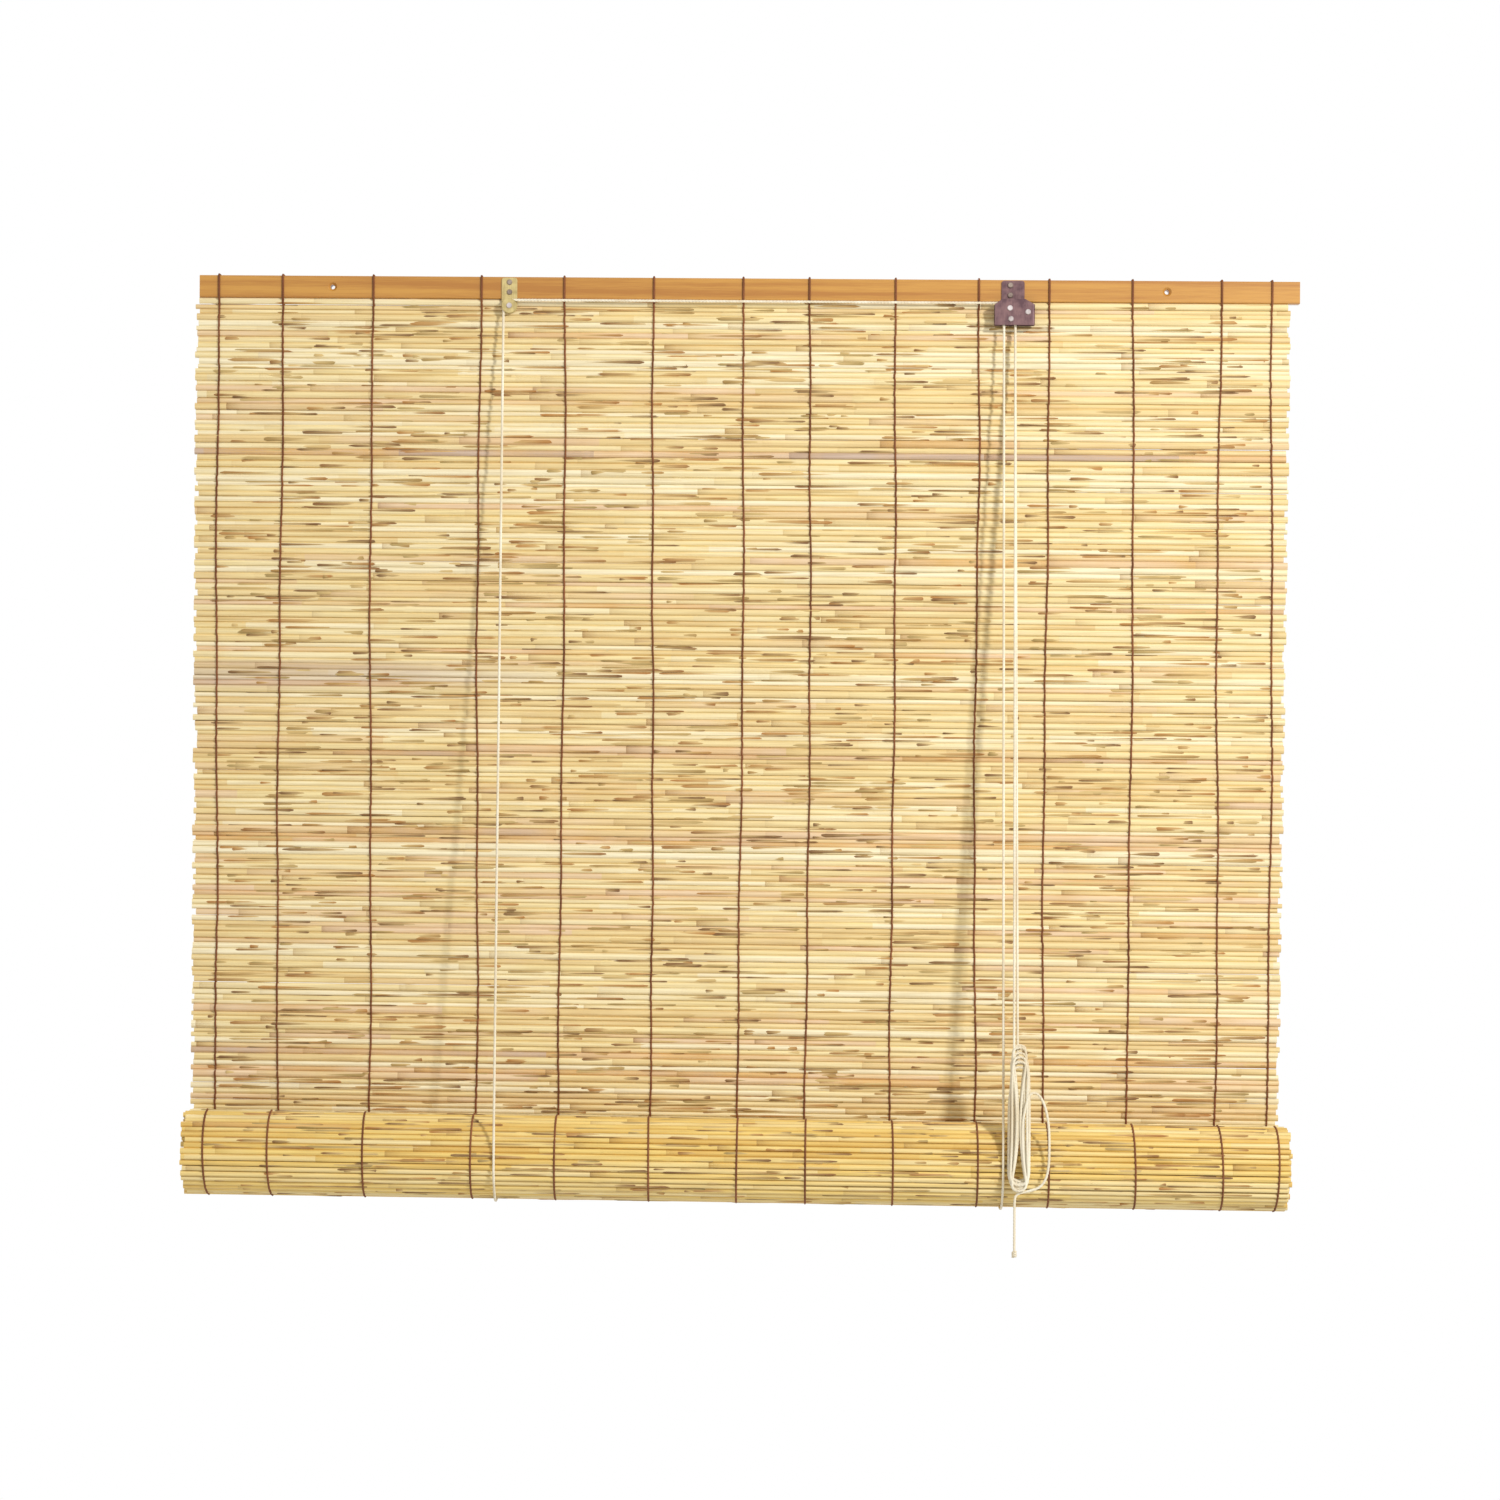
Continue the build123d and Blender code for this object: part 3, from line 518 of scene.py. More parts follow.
def two_tone(name, pattern, first, second):
    """Material between two tones; gives the material, its tree, its shader and the pattern's level."""
    material, tree, shader = start_material(name)
    coarse = stretched_noise(tree, pattern.coarse, pattern.coarse_detail)
    fine = stretched_noise(tree, pattern.fine, pattern.fine_detail)
    level = maths(tree, "ADD", coarse, around_zero(tree, fine, pattern.grain))
    stops = tuple(zip(pattern.places, (first, second)))
    tree.links.new(ramp(tree, level, stops), shader.inputs["Base Color"])
    bump(tree, shader, fine, pattern.relief, pattern.depth)
    return material, tree, shader, level


def thread_finish(name, colours):
    """Twisted brown thread with faded stretches and short fibres."""
    material, _, shader, _ = two_tone(name, THREAD_PATTERN, colours.thread_brown, colours.thread_rust)
    shader.inputs["Roughness"].default_value = 0.9
    return material


def cord_finish(name, colours):
    """Off-white cotton cord, a little soiled in places."""
    material, _, shader, _ = two_tone(name, CORD_PATTERN, colours.cord_light, colours.cord_dark)
    shader.inputs["Roughness"].default_value = 0.92
    shader.inputs["Sheen Weight"].default_value = 0.15
    return material


def wood_finish(name, light, dark, coat):
    """Planed wood with grain along the batten."""
    material, _, shader, _ = two_tone(name, WOOD_PATTERN, dark, light)
    shader.inputs["Roughness"].default_value = 0.42
    shader.inputs["Coat Weight"].default_value = coat
    shader.inputs["Coat Roughness"].default_value = 0.2
    return material


def metal_finish(name, light, dark, metallic, dullness):
    """Plated or painted sheet with dull patches and fine scratches; dullness is a grey of 0 to 255."""
    material, tree, shader, level = two_tone(name, METAL_PATTERN, dark, light)
    shader.inputs["Metallic"].default_value = metallic
    dull, bright = grey(dullness + DULLNESS_SPREAD), grey(dullness - DULLNESS_SPREAD)
    rough = ramp(tree, level, ((0.2, dull), (0.8, bright)))
    tree.links.new(rough, shader.inputs["Roughness"])
    return material


def reed_stops(colours):
    """Tones of the hanging reeds, from pale to dark."""
    return (
        (0.04, colours.reed_cream), (0.30, colours.reed_straw), (0.52, colours.reed_tan),
        (0.68, colours.reed_rose), (0.84, colours.reed_amber), (1.0, colours.reed_mauve),
    )


def roll_stops(colours):
    """Tones of the rolled reeds, from pale to dark."""
    return (
        (0.04, colours.reed_straw), (0.34, colours.roll_gold), (0.66, colours.roll_honey),
        (0.86, colours.reed_amber), (1.0, colours.sheath_rust),
    )


# Shared modelling steps


def clear_selection():
    """Leave edit mode and select nothing."""
    if bpy.context.mode != "OBJECT":
        bpy.ops.object.mode_set(mode="OBJECT")
    bpy.ops.object.select_all(action="DESELECT")


def stem_blank(name, stations, material):
    """Stem drawn by extruding a ring of points along +X; stations are (x, y, z, radius)."""
    clear_selection()
    x, y, z, radius = stations[0]
    bpy.ops.mesh.primitive_circle_add(
        vertices=REED_SIDES, radius=radius, fill_type="NGON", location=(x, y, z),
        rotation=(0, math.pi / 2, 0),
    )
    stem = bpy.context.object
    bpy.ops.object.transform_apply(location=True, rotation=True, scale=True)
    bpy.ops.object.mode_set(mode="EDIT")
    bpy.ops.mesh.select_all(action="SELECT")
    for before, after in zip(stations, stations[1:]):
        step = [b - a for a, b in zip(before[:3], after[:3])]
        bpy.ops.mesh.extrude_region_move(TRANSFORM_OT_translate={"value": step})
        grow = after[3] / before[3]
        bpy.ops.transform.resize(value=(1, grow, grow), center_override=after[:3])
    bpy.ops.mesh.select_all(action="SELECT")
    bpy.ops.mesh.normals_make_consistent(inside=False)
    bpy.ops.object.mode_set(mode="OBJECT")
    bpy.ops.object.shade_smooth_by_angle(angle=STEM_SHARP)
    stem.name = name
    stem.data.materials.append(material)
    return stem


def reed_stations(rng, reach, radius):
    """Stations of one reed: a slow taper, a slight sway and two swollen joints."""
    near, far = JOINT_PLACES
    joints_along = (rng.uniform(-far, -near), rng.uniform(near, far))
    places = [-1.0, 1.0]
    for share in joints_along:
        places += [share - JOINT_HALF, share, share + JOINT_HALF]
    taper = rng.uniform(*REED_TAPER)
    sway = rng.uniform(-1, 1) * REED_SWAY
    phase = rng.uniform(0, math.tau)
    stations = []
    for share in sorted(places):
        size = radius * (1 + taper * share) * (JOINT_SWELL if share in joints_along else 1.0)
        drift = sway * math.sin(SWAY_WAVES * share + phase)
        stations.append((share * reach, SWAY_DEPTH_SHARE * drift, drift, size))
    return stations


def copy_of(blank, matrix, tone):
    """Copy of a blank with its own mesh, set in place, with its own tone."""
    mesh = blank.data.copy()
    mesh.transform(matrix)
    values = mesh.attributes.new("tone", "FLOAT", "POINT")
    values.data.foreach_set("value", [tone] * len(mesh.vertices))
    piece = bpy.data.objects.new(blank.name, mesh)
    bpy.context.scene.collection.objects.link(piece)
    return piece


def join_pieces(pieces, name):
    """One piece made of several."""
    clear_selection()
    for piece in pieces:
        piece.select_set(True)
    bpy.context.view_layer.objects.active = pieces[0]
    bpy.ops.object.join()
    joined = bpy.context.object
    joined.name = name
    joined.data.name = name
    return joined


def drop_blanks(blanks):
    """Remove the blanks once their copies are made."""
    for blank in blanks:
        bpy.data.objects.remove(blank)


def tone_of(rng):
    """Tone of one reed, mostly pale."""
    return min(TONE_MOST, max(0.0, rng.gauss(TONE_MEAN, TONE_SPREAD)))


class Reed(NamedTuple):
    """One laid reed: the shape it is copied from, its stations, its place and its tone"""

    shape: int
    stations: list
    matrix: Matrix
    thick: float
    tone: float

    def at(self, x):
        """Middle and radius of the reed at a place along the blind."""
        local = (self.matrix.inverted() @ Vector((x, 0, self.matrix.translation.z))).x
        index = 0
        while index < len(self.stations) - 2 and self.stations[index + 1][0] < local:
            index += 1
        before, after = self.stations[index], self.stations[index + 1]
        share = (local - before[0]) / (after[0] - before[0])
        middle = [a + share * (b - a) for a, b in zip(before, after)]
        return self.matrix @ Vector(middle[:3]), middle[3] * self.thick


def reed_shapes(seed, reach, radius):
    """Stations of several different reeds to copy from."""
    rng = random.Random(seed)
    return [reed_stations(rng, reach, radius) for _ in range(REED_SHAPES)]


def lay_sheath(rng, reed, centre, half, outward, blanks, sizes, slope):
    """Dry sheath that clings to one side of a reed and points inwards near the reed's ends."""
    offset = rng.uniform(-1, 1) * (half - SHEATH_MARGIN)
    middle, radius = reed.at(centre + offset)
    turned = Matrix.Rotation(rng.gauss(0, SHEATH_SWING), 4, "X") @ outward
    shift = turned * sizes.sheath_shift * radius / sizes.reed_radius
    thick = radius / sizes.reed_radius * rng.uniform(*SHEATH_THICKNESS)
    inner = half - SHEATH_MARGIN - SHEATH_REACH
    to_left = offset > inner or (offset > -inner and rng.random() < 0.5)
    flip = Matrix.Rotation(math.pi if to_left else 0.0, 4, "Z")
    spin = Matrix.Rotation(rng.uniform(0, math.tau), 4, "X")
    stretch = rng.uniform(*SHEATH_STRETCH) ** SHEATH_STRETCH_POWER
    size = Matrix.Diagonal((stretch, thick, thick, 1))
    lean = Matrix.Rotation(-math.atan(slope), 4, "Y")
    place = Matrix.Translation(middle + shift) @ lean @ flip @ spin @ size
    return copy_of(rng.choice(blanks), place, rng.random())


def draw_with_roll(piece):
    """Bake a band's place into its mesh."""
    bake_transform(piece)


def band_edges(top, bottom, count):
    """Heights that part a run into bands, closer together at its two ends."""
    shares = [(1 - math.cos(math.pi * n / count)) / 2 for n in range(count + 1)]
    return [top - share * (top - bottom) for share in shares]


# Cords


def round_curve(name, radius):
    """Empty curve with a round section, to take cords or threads."""
    curve = bpy.data.curves.new(name, "CURVE")
    curve.dimensions = "3D"
    curve.resolution_u = 2
    curve.bevel_depth = radius
    curve.bevel_resolution = 1
    curve.use_fill_caps = True
    return curve


def add_spline(curve, kind, points):
    """One more line of a curve along the points of its route; a NURBS line is smooth."""
    spline = curve.splines.new(kind)
    spline.points.add(len(points) - 1)
    for point, place in zip(spline.points, points):
        point.co = (*place, 1.0)
    if kind == "NURBS":
        spline.order_u = 3
        spline.use_endpoint_u = True


def smooth_line(points):
    """Points along the smooth line of a route, read from its NURBS spline."""
    curve = bpy.data.curves.new("route", "CURVE")
    curve.dimensions = "3D"
    curve.resolution_u = 48
    add_spline(curve, "NURBS", points)
    carrier = bpy.data.objects.new("route", curve)
    mesh = bpy.data.meshes.new_from_object(carrier)
    line = [vertex.co.copy() for vertex in mesh.vertices]
    bpy.data.objects.remove(carrier)
    bpy.data.curves.remove(curve)
    bpy.data.meshes.remove(mesh)
    return line


def line_length(line):
    """Length of a line of points."""
    return sum((b - a).length for a, b in zip(line, line[1:]))


def even_steps(line, step):
    """Line walked in even steps, as (distance, point, direction)."""
    total = line_length(line)
    count = max(2, math.ceil(total / step))
    marks, walked, index = [], 0.0, 0
    for number in range(count + 1):
        wanted = total * number / count
        while index < len(line) - 2 and walked + (line[index + 1] - line[index]).length < wanted:
            walked += (line[index + 1] - line[index]).length
            index += 1
        edge = line[index + 1] - line[index]
        share = (wanted - walked) / max(edge.length, 1e-9)
        marks.append((wanted, line[index] + edge * share, edge.normalized()))
    return marks


def strand_points(line, lay):
    """Helical lines of the strands round a cord's line, one list of points for each."""
    turned = [[] for _ in range(STRANDS)]
    direction = (line[1] - line[0]).normalized()
    normal = direction.orthogonal().normalized()
    for distance, point, direction in even_steps(line, lay / TWIST_STEPS):
        normal = (normal - direction * normal.dot(direction)).normalized()
        side = direction.cross(normal)
        for strand in range(STRANDS):
            angle = math.tau * (distance / lay + strand / STRANDS)
            way = math.cos(angle) * normal + math.sin(angle) * side
            turned[strand].append(point + STRAND_OFFSET * way)
    return turned


def strands_mesh(name, lines, material):
    """Cord of several strands, each along its own points."""
    curve = round_curve(name, STRAND_RADIUS)
    for points in lines:
        add_spline(curve, "POLY", points)
    piece = curve_to_mesh(name, curve)
    finish_piece(piece, material)
    return piece


def curve_to_mesh(name, curve):
    """Object with the mesh of a round curve."""
    clear_selection()
    piece = bpy.data.objects.new(name, curve)
    bpy.context.scene.collection.objects.link(piece)
    piece.select_set(True)
    bpy.context.view_layer.objects.active = piece
    bpy.ops.object.convert(target="MESH")
    piece = bpy.context.object
    bpy.ops.object.shade_smooth_by_angle(angle=CORD_SHARP)
    piece.name = name
    piece.data.name = name
    return piece


def twisted_cord(name, line, lay, material):
    """Cord of twisted strands along a line."""
    return strands_mesh(name, strand_points(line, lay), material)


def riding_cord(name, route, body, nodes, lay, material):
    """Twisted cord along a route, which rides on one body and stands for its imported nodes."""
    cord = twisted_cord(name, smooth_line(route), lay, material)
    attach(cord, body)
    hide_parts(*nodes)
    return cord


def finish_piece(piece, material):
    """Give a new piece its material."""
    piece.data.materials.clear()
    piece.data.materials.append(material)


def arc_corners(x, z, radius, start, turn):
    """Corners, as (x, z), that a cord's smooth line rounds off to an arc about a centre."""
    reach = radius / math.cos(math.radians(ARC_STEP / 2))
    corners = []
    for step in range(round(abs(turn) / ARC_STEP)):
        angle = math.radians(start + math.copysign(ARC_STEP * (step + 0.5), turn))
        corners.append((x + reach * math.cos(angle), z + reach * math.sin(angle)))
    return corners


def wheel_corners(x, y, start, turn):
    """Corners of a cord that goes over one of the two wheels."""
    return [(px, y, pz) for px, pz in arc_corners(x, WHEEL_Z, WHEEL_PITCH, start, turn)]


def axis_height(x):
    """Height of the roll's axis at a place along the blind."""
    return roll_centre.z + roll_slope * (x - roll_centre.x)


def pull_route(side):
    """Pull cord from the lock's mouth down to the hank."""
    mouth = Vector((PULL_X, LANES[side], LOCK_MOUTH_Z))
    end = Vector(PULL_ENDS[side])
    lead = mouth + (end - mouth).normalized() * PULL_LEAD
    return [mouth, lead, end]


def hank_side(reach, waist, upper, lower):
    """One side of a hank's turn between its two folds, drawn in to its waist, from the top down."""
    neck = HANK_WAIST_PULL * waist + (1 - HANK_WAIST_PULL) * HANK_TOP_SHARE
    hip = HANK_WAIST_PULL * waist + (1 - HANK_WAIST_PULL)
    drop = upper - lower
    return [(reach * share, upper - down * drop) for share, down in zip((neck, waist, hip), HANK_SIDE_DROPS)]


def hank_fold(left, right, level, start, turn):
    """Round fold of a hank's turn; its outermost point is at a level."""
    radius = (right - left) / 2
    inwards = math.copysign(radius, turn)
    return arc_corners((left + right) / 2, level + inwards, radius, start, turn)


def hank_route():
    """Round and round through the hank, out through the loose loop and down the tail."""
    points = [tuple(Vector(PULL_ENDS["left"]) - HANK)]
    for number, (back, left, right, waist, upper, lower) in enumerate(HANK_TURNS, start=1):
        after = HANK_TURNS[number % len(HANK_TURNS)][0]
        points += [(x, back, z) for x, z in hank_side(left, waist, upper, lower)]
        points += [(x, back, z) for x, z in hank_fold(left, right, lower, 180, 180)]
        rising = hank_side(right, waist, upper, lower)[::-1]
        if number < len(HANK_TURNS):
            points += [(x, (back + after) / 2, z) for x, z in rising]
            narrow = (left * HANK_TOP_SHARE, right * HANK_TOP_SHARE)
            arch = hank_fold(*narrow, upper - (narrow[1] - narrow[0]), 0, 180)
            points += [(x, after, z) for x, z in arch]
        else:
            points += [(x, back, z) for x, z in rising[:2]]
    points += [*LOOP_ROUTE, *TAIL_ROUTE]
    return [HANK + Vector(point) for point in points]


def knot_route(top):
    """Tight turns of cord round its own end."""
    points = []
    for step in range(KNOT_STEPS + 1):
        share = step / KNOT_STEPS
        angle = math.tau * KNOT_TURNS * share
        across, along = KNOT_RADIUS * math.cos(angle), KNOT_RADIUS * math.sin(angle)
        points.append(top + Vector((across, along, -KNOT_HEIGHT * share)))
    return points


def sling_route(side):
    """Cord under the roll, up a little way at the back and the front."""
    x = CORD_X[side]
    height = axis_height(x)
    points = [(REAR_Y, height + SLING_REAR_RISE), (REAR_Y, height)]
    points += arc_corners((REAR_Y + FRONT_Y) / 2, height, (REAR_Y - FRONT_Y) / 2, 0, -180)
    points += [(FRONT_Y, height), (FRONT_Y, height + SLING_FRONT_RISE)]
    return [Vector((x, y, z)) for y, z in points]


def cross_route():
    """Left cord over the pulley, across the blind, over the lock's wheel and out at its mouth."""
    y = LANES["left"]
    left, right = WHEEL_X["left"], WHEEL_X["right"]
    points = [(CORD_X["left"], y, WRAP_END_Z), (CORD_X["left"], y, WHEEL_Z)]
    points += wheel_corners(left, y, 180, -90)
    points += [(left, y, WHEEL_Z + WHEEL_PITCH), (right, y, WHEEL_Z + WHEEL_PITCH)]
    points += wheel_corners(right, y, 90, -90)
    points += [(PULL_X, y, WHEEL_Z), (PULL_X, y, LOCK_MOUTH_Z)]
    return [Vector(point) for point in points]


def wrap_route():
    """Right cord over the lock's wheel and out at its mouth."""
    y = LANES["right"]
    points = [(CORD_X["right"], y, WRAP_END_Z), (CORD_X["right"], y, WHEEL_Z)]
    points += wheel_corners(WHEEL_X["right"], y, 180, -180)
    points += [(PULL_X, y, WHEEL_Z), (PULL_X, y, LOCK_MOUTH_Z)]
    return [Vector(point) for point in points]


class BLIND_OT_pull_cords(bpy.types.Operator):
    """Make the two pull cords, the hank and the knot at its end"""

    bl_idname = "blind.pull_cords"
    bl_label = "Pull cords and hank"

    def execute(self, context):
        sizes = context.scene.blind_sizes
        colours = context.scene.blind_colours
        material = cord_finish("cotton cord", colours)
        for side in ("left", "right"):
            route = pull_route(side)
            line = smooth_line(route)
            cord = twisted_cord(f"{side}_pull", line, sizes.cord_lay, material)
            self.hang_between(cord, route[0].z, route[-1].z)
            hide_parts(f"{side}_pull_cord")
        self.make_hank(sizes, material)
        return {"FINISHED"}

    def hang_between(self, cord, top, bottom):
        """Bake the cord's place into its mesh."""
        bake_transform(cord)

    def make_hank(self, sizes, material):
        """Folded cord with its loose loop, its tail and the knot."""
        route = hank_route()
        line = smooth_line(route)
        hank = twisted_cord("hank_strands", line, sizes.cord_lay, material)
        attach(hank, "hank")
        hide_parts("cord_hank", "hank_loop", "cord_tail")
        end = knot_route(route[-1])
        knot = riding_cord("tail_stopper", end, "hank", ["tail_knot"], sizes.cord_lay, material)


class BLIND_OT_lift_cords(bpy.types.Operator):
    """Make the taut cords that carry the roll"""

    bl_idname = "blind.lift_cords"
    bl_label = "Lift cords"

    def execute(self, context):
        sizes = context.scene.blind_sizes
        colours = context.scene.blind_colours
        material = cord_finish("taut cotton cord", colours)
        lay = sizes.cord_lay
        for side in ("left", "right"):
            x = CORD_X[side]
            height = axis_height(x)
            rear = [Vector((x, REAR_Y, REAR_TOP_Z)), Vector((x, REAR_Y, height + SLING_REAR_RISE))]
            front = [Vector((x, LANES[side], WRAP_END_Z)), Vector((x, FRONT_Y, height + SLING_FRONT_RISE))]
            self.banded(f"{side}_rear", rear, f"{side}_cord_rear", sizes, material)
            self.banded(f"{side}_front", front, f"{side}_cord_front", sizes, material)
            riding_cord(f"{side}_sling", sling_route(side), "sling", [f"{side}_cord_sling"], lay, material)
            top = Vector((x, REAR_Y, REAR_TOP_Z + KNOT_RISE))
            riding_cord(f"{side}_stopper", knot_route(top), "head", [f"{side}_cord_knot"], lay, material)
        riding_cord("cross_cord", cross_route(), "head", ["left_cord_cross"], lay, material)
        riding_cord("wrap_cord", wrap_route(), "head", ["right_cord_wrap"], lay, material)
        return {"FINISHED"}

    def banded(self, name, run, node, sizes, material):
        """Straight cord cut into bands along its height."""
        top, bottom = run[0].z, run[-1].z
        edges = band_edges(top, bottom, sizes.bands)
        strands = strand_points(run, sizes.cord_lay)
        margin = sizes.cord_lay / TWIST_STEPS
        for number, (high, low) in enumerate(zip(edges, edges[1:]), start=1):
            lines = [[p for p in strand if low - margin <= p.z <= high + margin] for strand in strands]
            piece = strands_mesh(f"{name}_{number:02d}", lines, material)
            draw_with_roll(piece)
            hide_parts(node)


# Reeds of the hanging mat


def mat_plan(sizes):
    """Reeds of the mat from the batten down to the roll's axis, leaning more and more like the roll."""
    rng = random.Random(REED_SEED)
    shapes = reed_shapes(ROW_SEED, mat_half, sizes.reed_radius)
    reeds = []
    height = mat_top
    before = 0.0
    while height > roll_centre.z:
        radius = sizes.reed_radius + rng.uniform(-1, 1) * sizes.reed_spread
        height -= before + radius
        before = radius
        share = min(1.0, (mat_top - height) / (mat_top - roll_centre.z))
        left = mat_low.x + rng.random() ** 2 * sizes.reed_end
        right = mat_high.x + (0.5 - share) * sizes.right_drift - rng.random() ** 2 * sizes.reed_end
        middle = (left + right) / 2
        thick = REED_OVERLAP * radius / sizes.reed_radius
        y = min(mat_y, mat_high.y - REED_OVERLAP * radius)
        place = Matrix.Translation((middle, y, height + share * roll_slope * (middle - roll_centre.x)))
        lean = Matrix.Rotation(-math.atan(share * roll_slope), 4, "Y")
        flip = Matrix.Rotation(rng.choice((0, math.pi)), 4, "Z")
        spin = Matrix.Rotation(rng.uniform(0, math.tau), 4, "X")
        size = Matrix.Diagonal(((right - left) / (2 * mat_half), thick, thick, 1))
        shape = rng.randrange(REED_SHAPES)
        reeds.append(Reed(shape, shapes[shape], place @ lean @ flip @ spin @ size, thick, tone_of(rng)))
    return reeds


def band_of(reed, edges):
    """Number of the band that a reed lies in."""
    return max(0, sum(reed.matrix.translation.z < edge for edge in edges[:-1]) - 1)


class BLIND_OT_reed_mat(bpy.types.Operator):
    """Make the hanging mat from single reeds and their dry sheaths"""

    bl_idname = "blind.reed_mat"
    bl_label = "Reed mat"

    def execute(self, context):
        sizes = context.scene.blind_sizes
        colours = context.scene.blind_colours
        rng = random.Random(SHEATH_SEED)
        finish = reed_finish("dry reed", reed_stops(colours), colours.joint_brown, colours.reed_mauve)
        reeds = mat_plan(sizes)
        shapes = reed_shapes(ROW_SEED, mat_half, sizes.reed_radius)
        blanks = make_reed_blanks(shapes, finish)
        sheaths = make_sheath_blanks(sizes.reed_radius, sheath_finish("leaf sheath", colours))
        edges = band_edges(mat_top, roll_centre.z, sizes.bands)
        bands = [[] for _ in range(sizes.bands)]
        for reed in reeds:
            bands[band_of(reed, edges)].append(copy_of(blanks[reed.shape], reed.matrix, reed.tone))
        for count, outward in ((sizes.front_sheaths, -1), (sizes.back_sheaths, 1)):
            for _ in range(count):
                reed = rng.choice(reeds)
                piece = lay_sheath(
                    rng, reed, mat_x, mat_half, Vector((0, outward, 0)), sheaths, sizes, 0.0
                )
                bands[band_of(reed, edges)].append(piece)
        for number, pieces in enumerate(bands):
            band = join_pieces(pieces, f"reed_band_{number + 1:02d}")
            draw_with_roll(band)
            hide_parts("hanging_mat")
        drop_blanks(blanks + sheaths)
        return {"FINISHED"}


def make_reed_blanks(shapes, material):
    """Reeds to copy from."""
    return [stem_blank(f"reed_{number}", stations, material) for number, stations in enumerate(shapes)]


def make_sheath_blanks(radius, material):
    """Two sheaths to copy from: thick at the joint, then drawn in until they sink into the reed."""
    blanks = []
    for number, outline in enumerate(SHEATH_OUTLINES):
        stations = [(x, 0.0, 0.0, radius * share) for x, share in outline]
        blank = stem_blank(f"sheath_{number}", stations, material)
        thin = blank.data.attributes.new("thin", "FLOAT", "POINT")
        for vertex, value in zip(blank.data.vertices, thin.data):
            value.value = vertex.co.x / outline[-1][0]
        blanks.append(blank)
    return blanks


# Warp threads


def wander(rng, reach):
    """Slow sideways drift of a thread, as a function of height."""
    waves = [(rng.uniform(low, high), rng.uniform(0, math.tau), share) for low, high, share in DRIFT_WAVES]

    def drift(height):
        return reach * sum(share * math.sin(pace * height + start) for pace, start, share in waves)

    return drift


class BLIND_OT_warp_threads(bpy.types.Operator):
    """Make the threads that tie the reeds, front and back, and their loops over the batten"""

    bl_idname = "blind.warp_threads"
    bl_label = "Warp threads"

    def execute(self, context):
        sizes = context.scene.blind_sizes
        colours = context.scene.blind_colours
        rng = random.Random(THREAD_SEED)
        material = thread_finish("brown thread", colours)
        reeds = mat_plan(sizes)
        edges = band_edges(mat_top, roll_centre.z, sizes.bands)
        curves = [round_curve(f"thread_band_{n + 1:02d}", sizes.thread_radius) for n in range(sizes.bands)]
        loops = round_curve("thread_loops", sizes.thread_radius * LOOP_THICKNESS)
        for x in thread_places:
            drift = wander(rng, sizes.thread_wander)
            for outward in (-1, 1):
                route = self.thread_route(rng, x, reeds, drift, outward, sizes)
                for curve, high, low in zip(curves, edges, edges[1:]):
                    self.add_band(curve, route, high, low)
            add_spline(loops, "NURBS", self.loop_route(x + drift(mat_top), sizes))
        nodes = [f"warp_thread_{n:02d}" for n in range(1, len(thread_places) + 1)]
        for curve, high, low in zip(curves, edges, edges[1:]):
            piece = curve_to_mesh(curve.name, curve)
            finish_piece(piece, material)
            draw_with_roll(piece)
            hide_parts(*nodes)
        piece = curve_to_mesh("thread_loops", loops)
        finish_piece(piece, material)
        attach(piece, "head")
        return {"FINISHED"}

    def thread_route(self, rng, x, reeds, drift, outward, sizes):
        """Thread over every reed and into the valley below it."""
        points = []
        for reed in reeds:
            place = x + drift(reed.matrix.translation.z) + rng.uniform(-THREAD_JITTER, THREAD_JITTER)
            middle, radius = reed.at(place)
            crest = middle.y + outward * (radius + THREAD_PROUD_SHARE * sizes.thread_radius)
            valley = middle.y + outward * VALLEY_SHARE * radius
            points.append(Vector((place, crest, middle.z + CREST_SHARE * radius)))
            points.append(Vector((place, crest, middle.z - CREST_SHARE * radius)))
            points.append(Vector((place, valley, middle.z - VALLEY_DROP_SHARE * radius)))
        return points

    def add_band(self, curve, route, high, low):
        """The stretch of a thread that lies in one band, with a little overlap."""
        points = [p for p in route if low - THREAD_OVERLAP <= p.z <= high + THREAD_OVERLAP]
        if len(points) >= 3:
            add_spline(curve, "NURBS", points)

    def loop_route(self, x, sizes):
        """Thread over the batten, from the front of the mat to its back."""
        out = sizes.thread_radius * LOOP_PROUD_SHARE
        reed = sizes.reed_radius
        top = batten_high.z + out
        halves = []
        for outward, face in ((-1, batten_low.y - out), (1, batten_high.y + out)):
            halves.append([
                (mat_y + outward * reed, mat_top - LOOP_TUCK),
                (mat_y + outward * (reed + out), mat_top - LOOP_LEAVE),
                (face, mat_top + LOOP_MEET), (face, mat_top + LOOP_LEAVE),
                (face, top - LOOP_CORNER), (face, top), (face - outward * LOOP_CORNER, top),
            ])
        front, back = halves
        return [Vector((x, y, z)) for y, z in front + back[::-1]]


# Rolled part of the mat


def roll_matrix():
    """Place and slope of the roll."""
    return Matrix.Translation(roll_centre) @ Matrix.Rotation(-math.atan(roll_slope), 4, "Y")


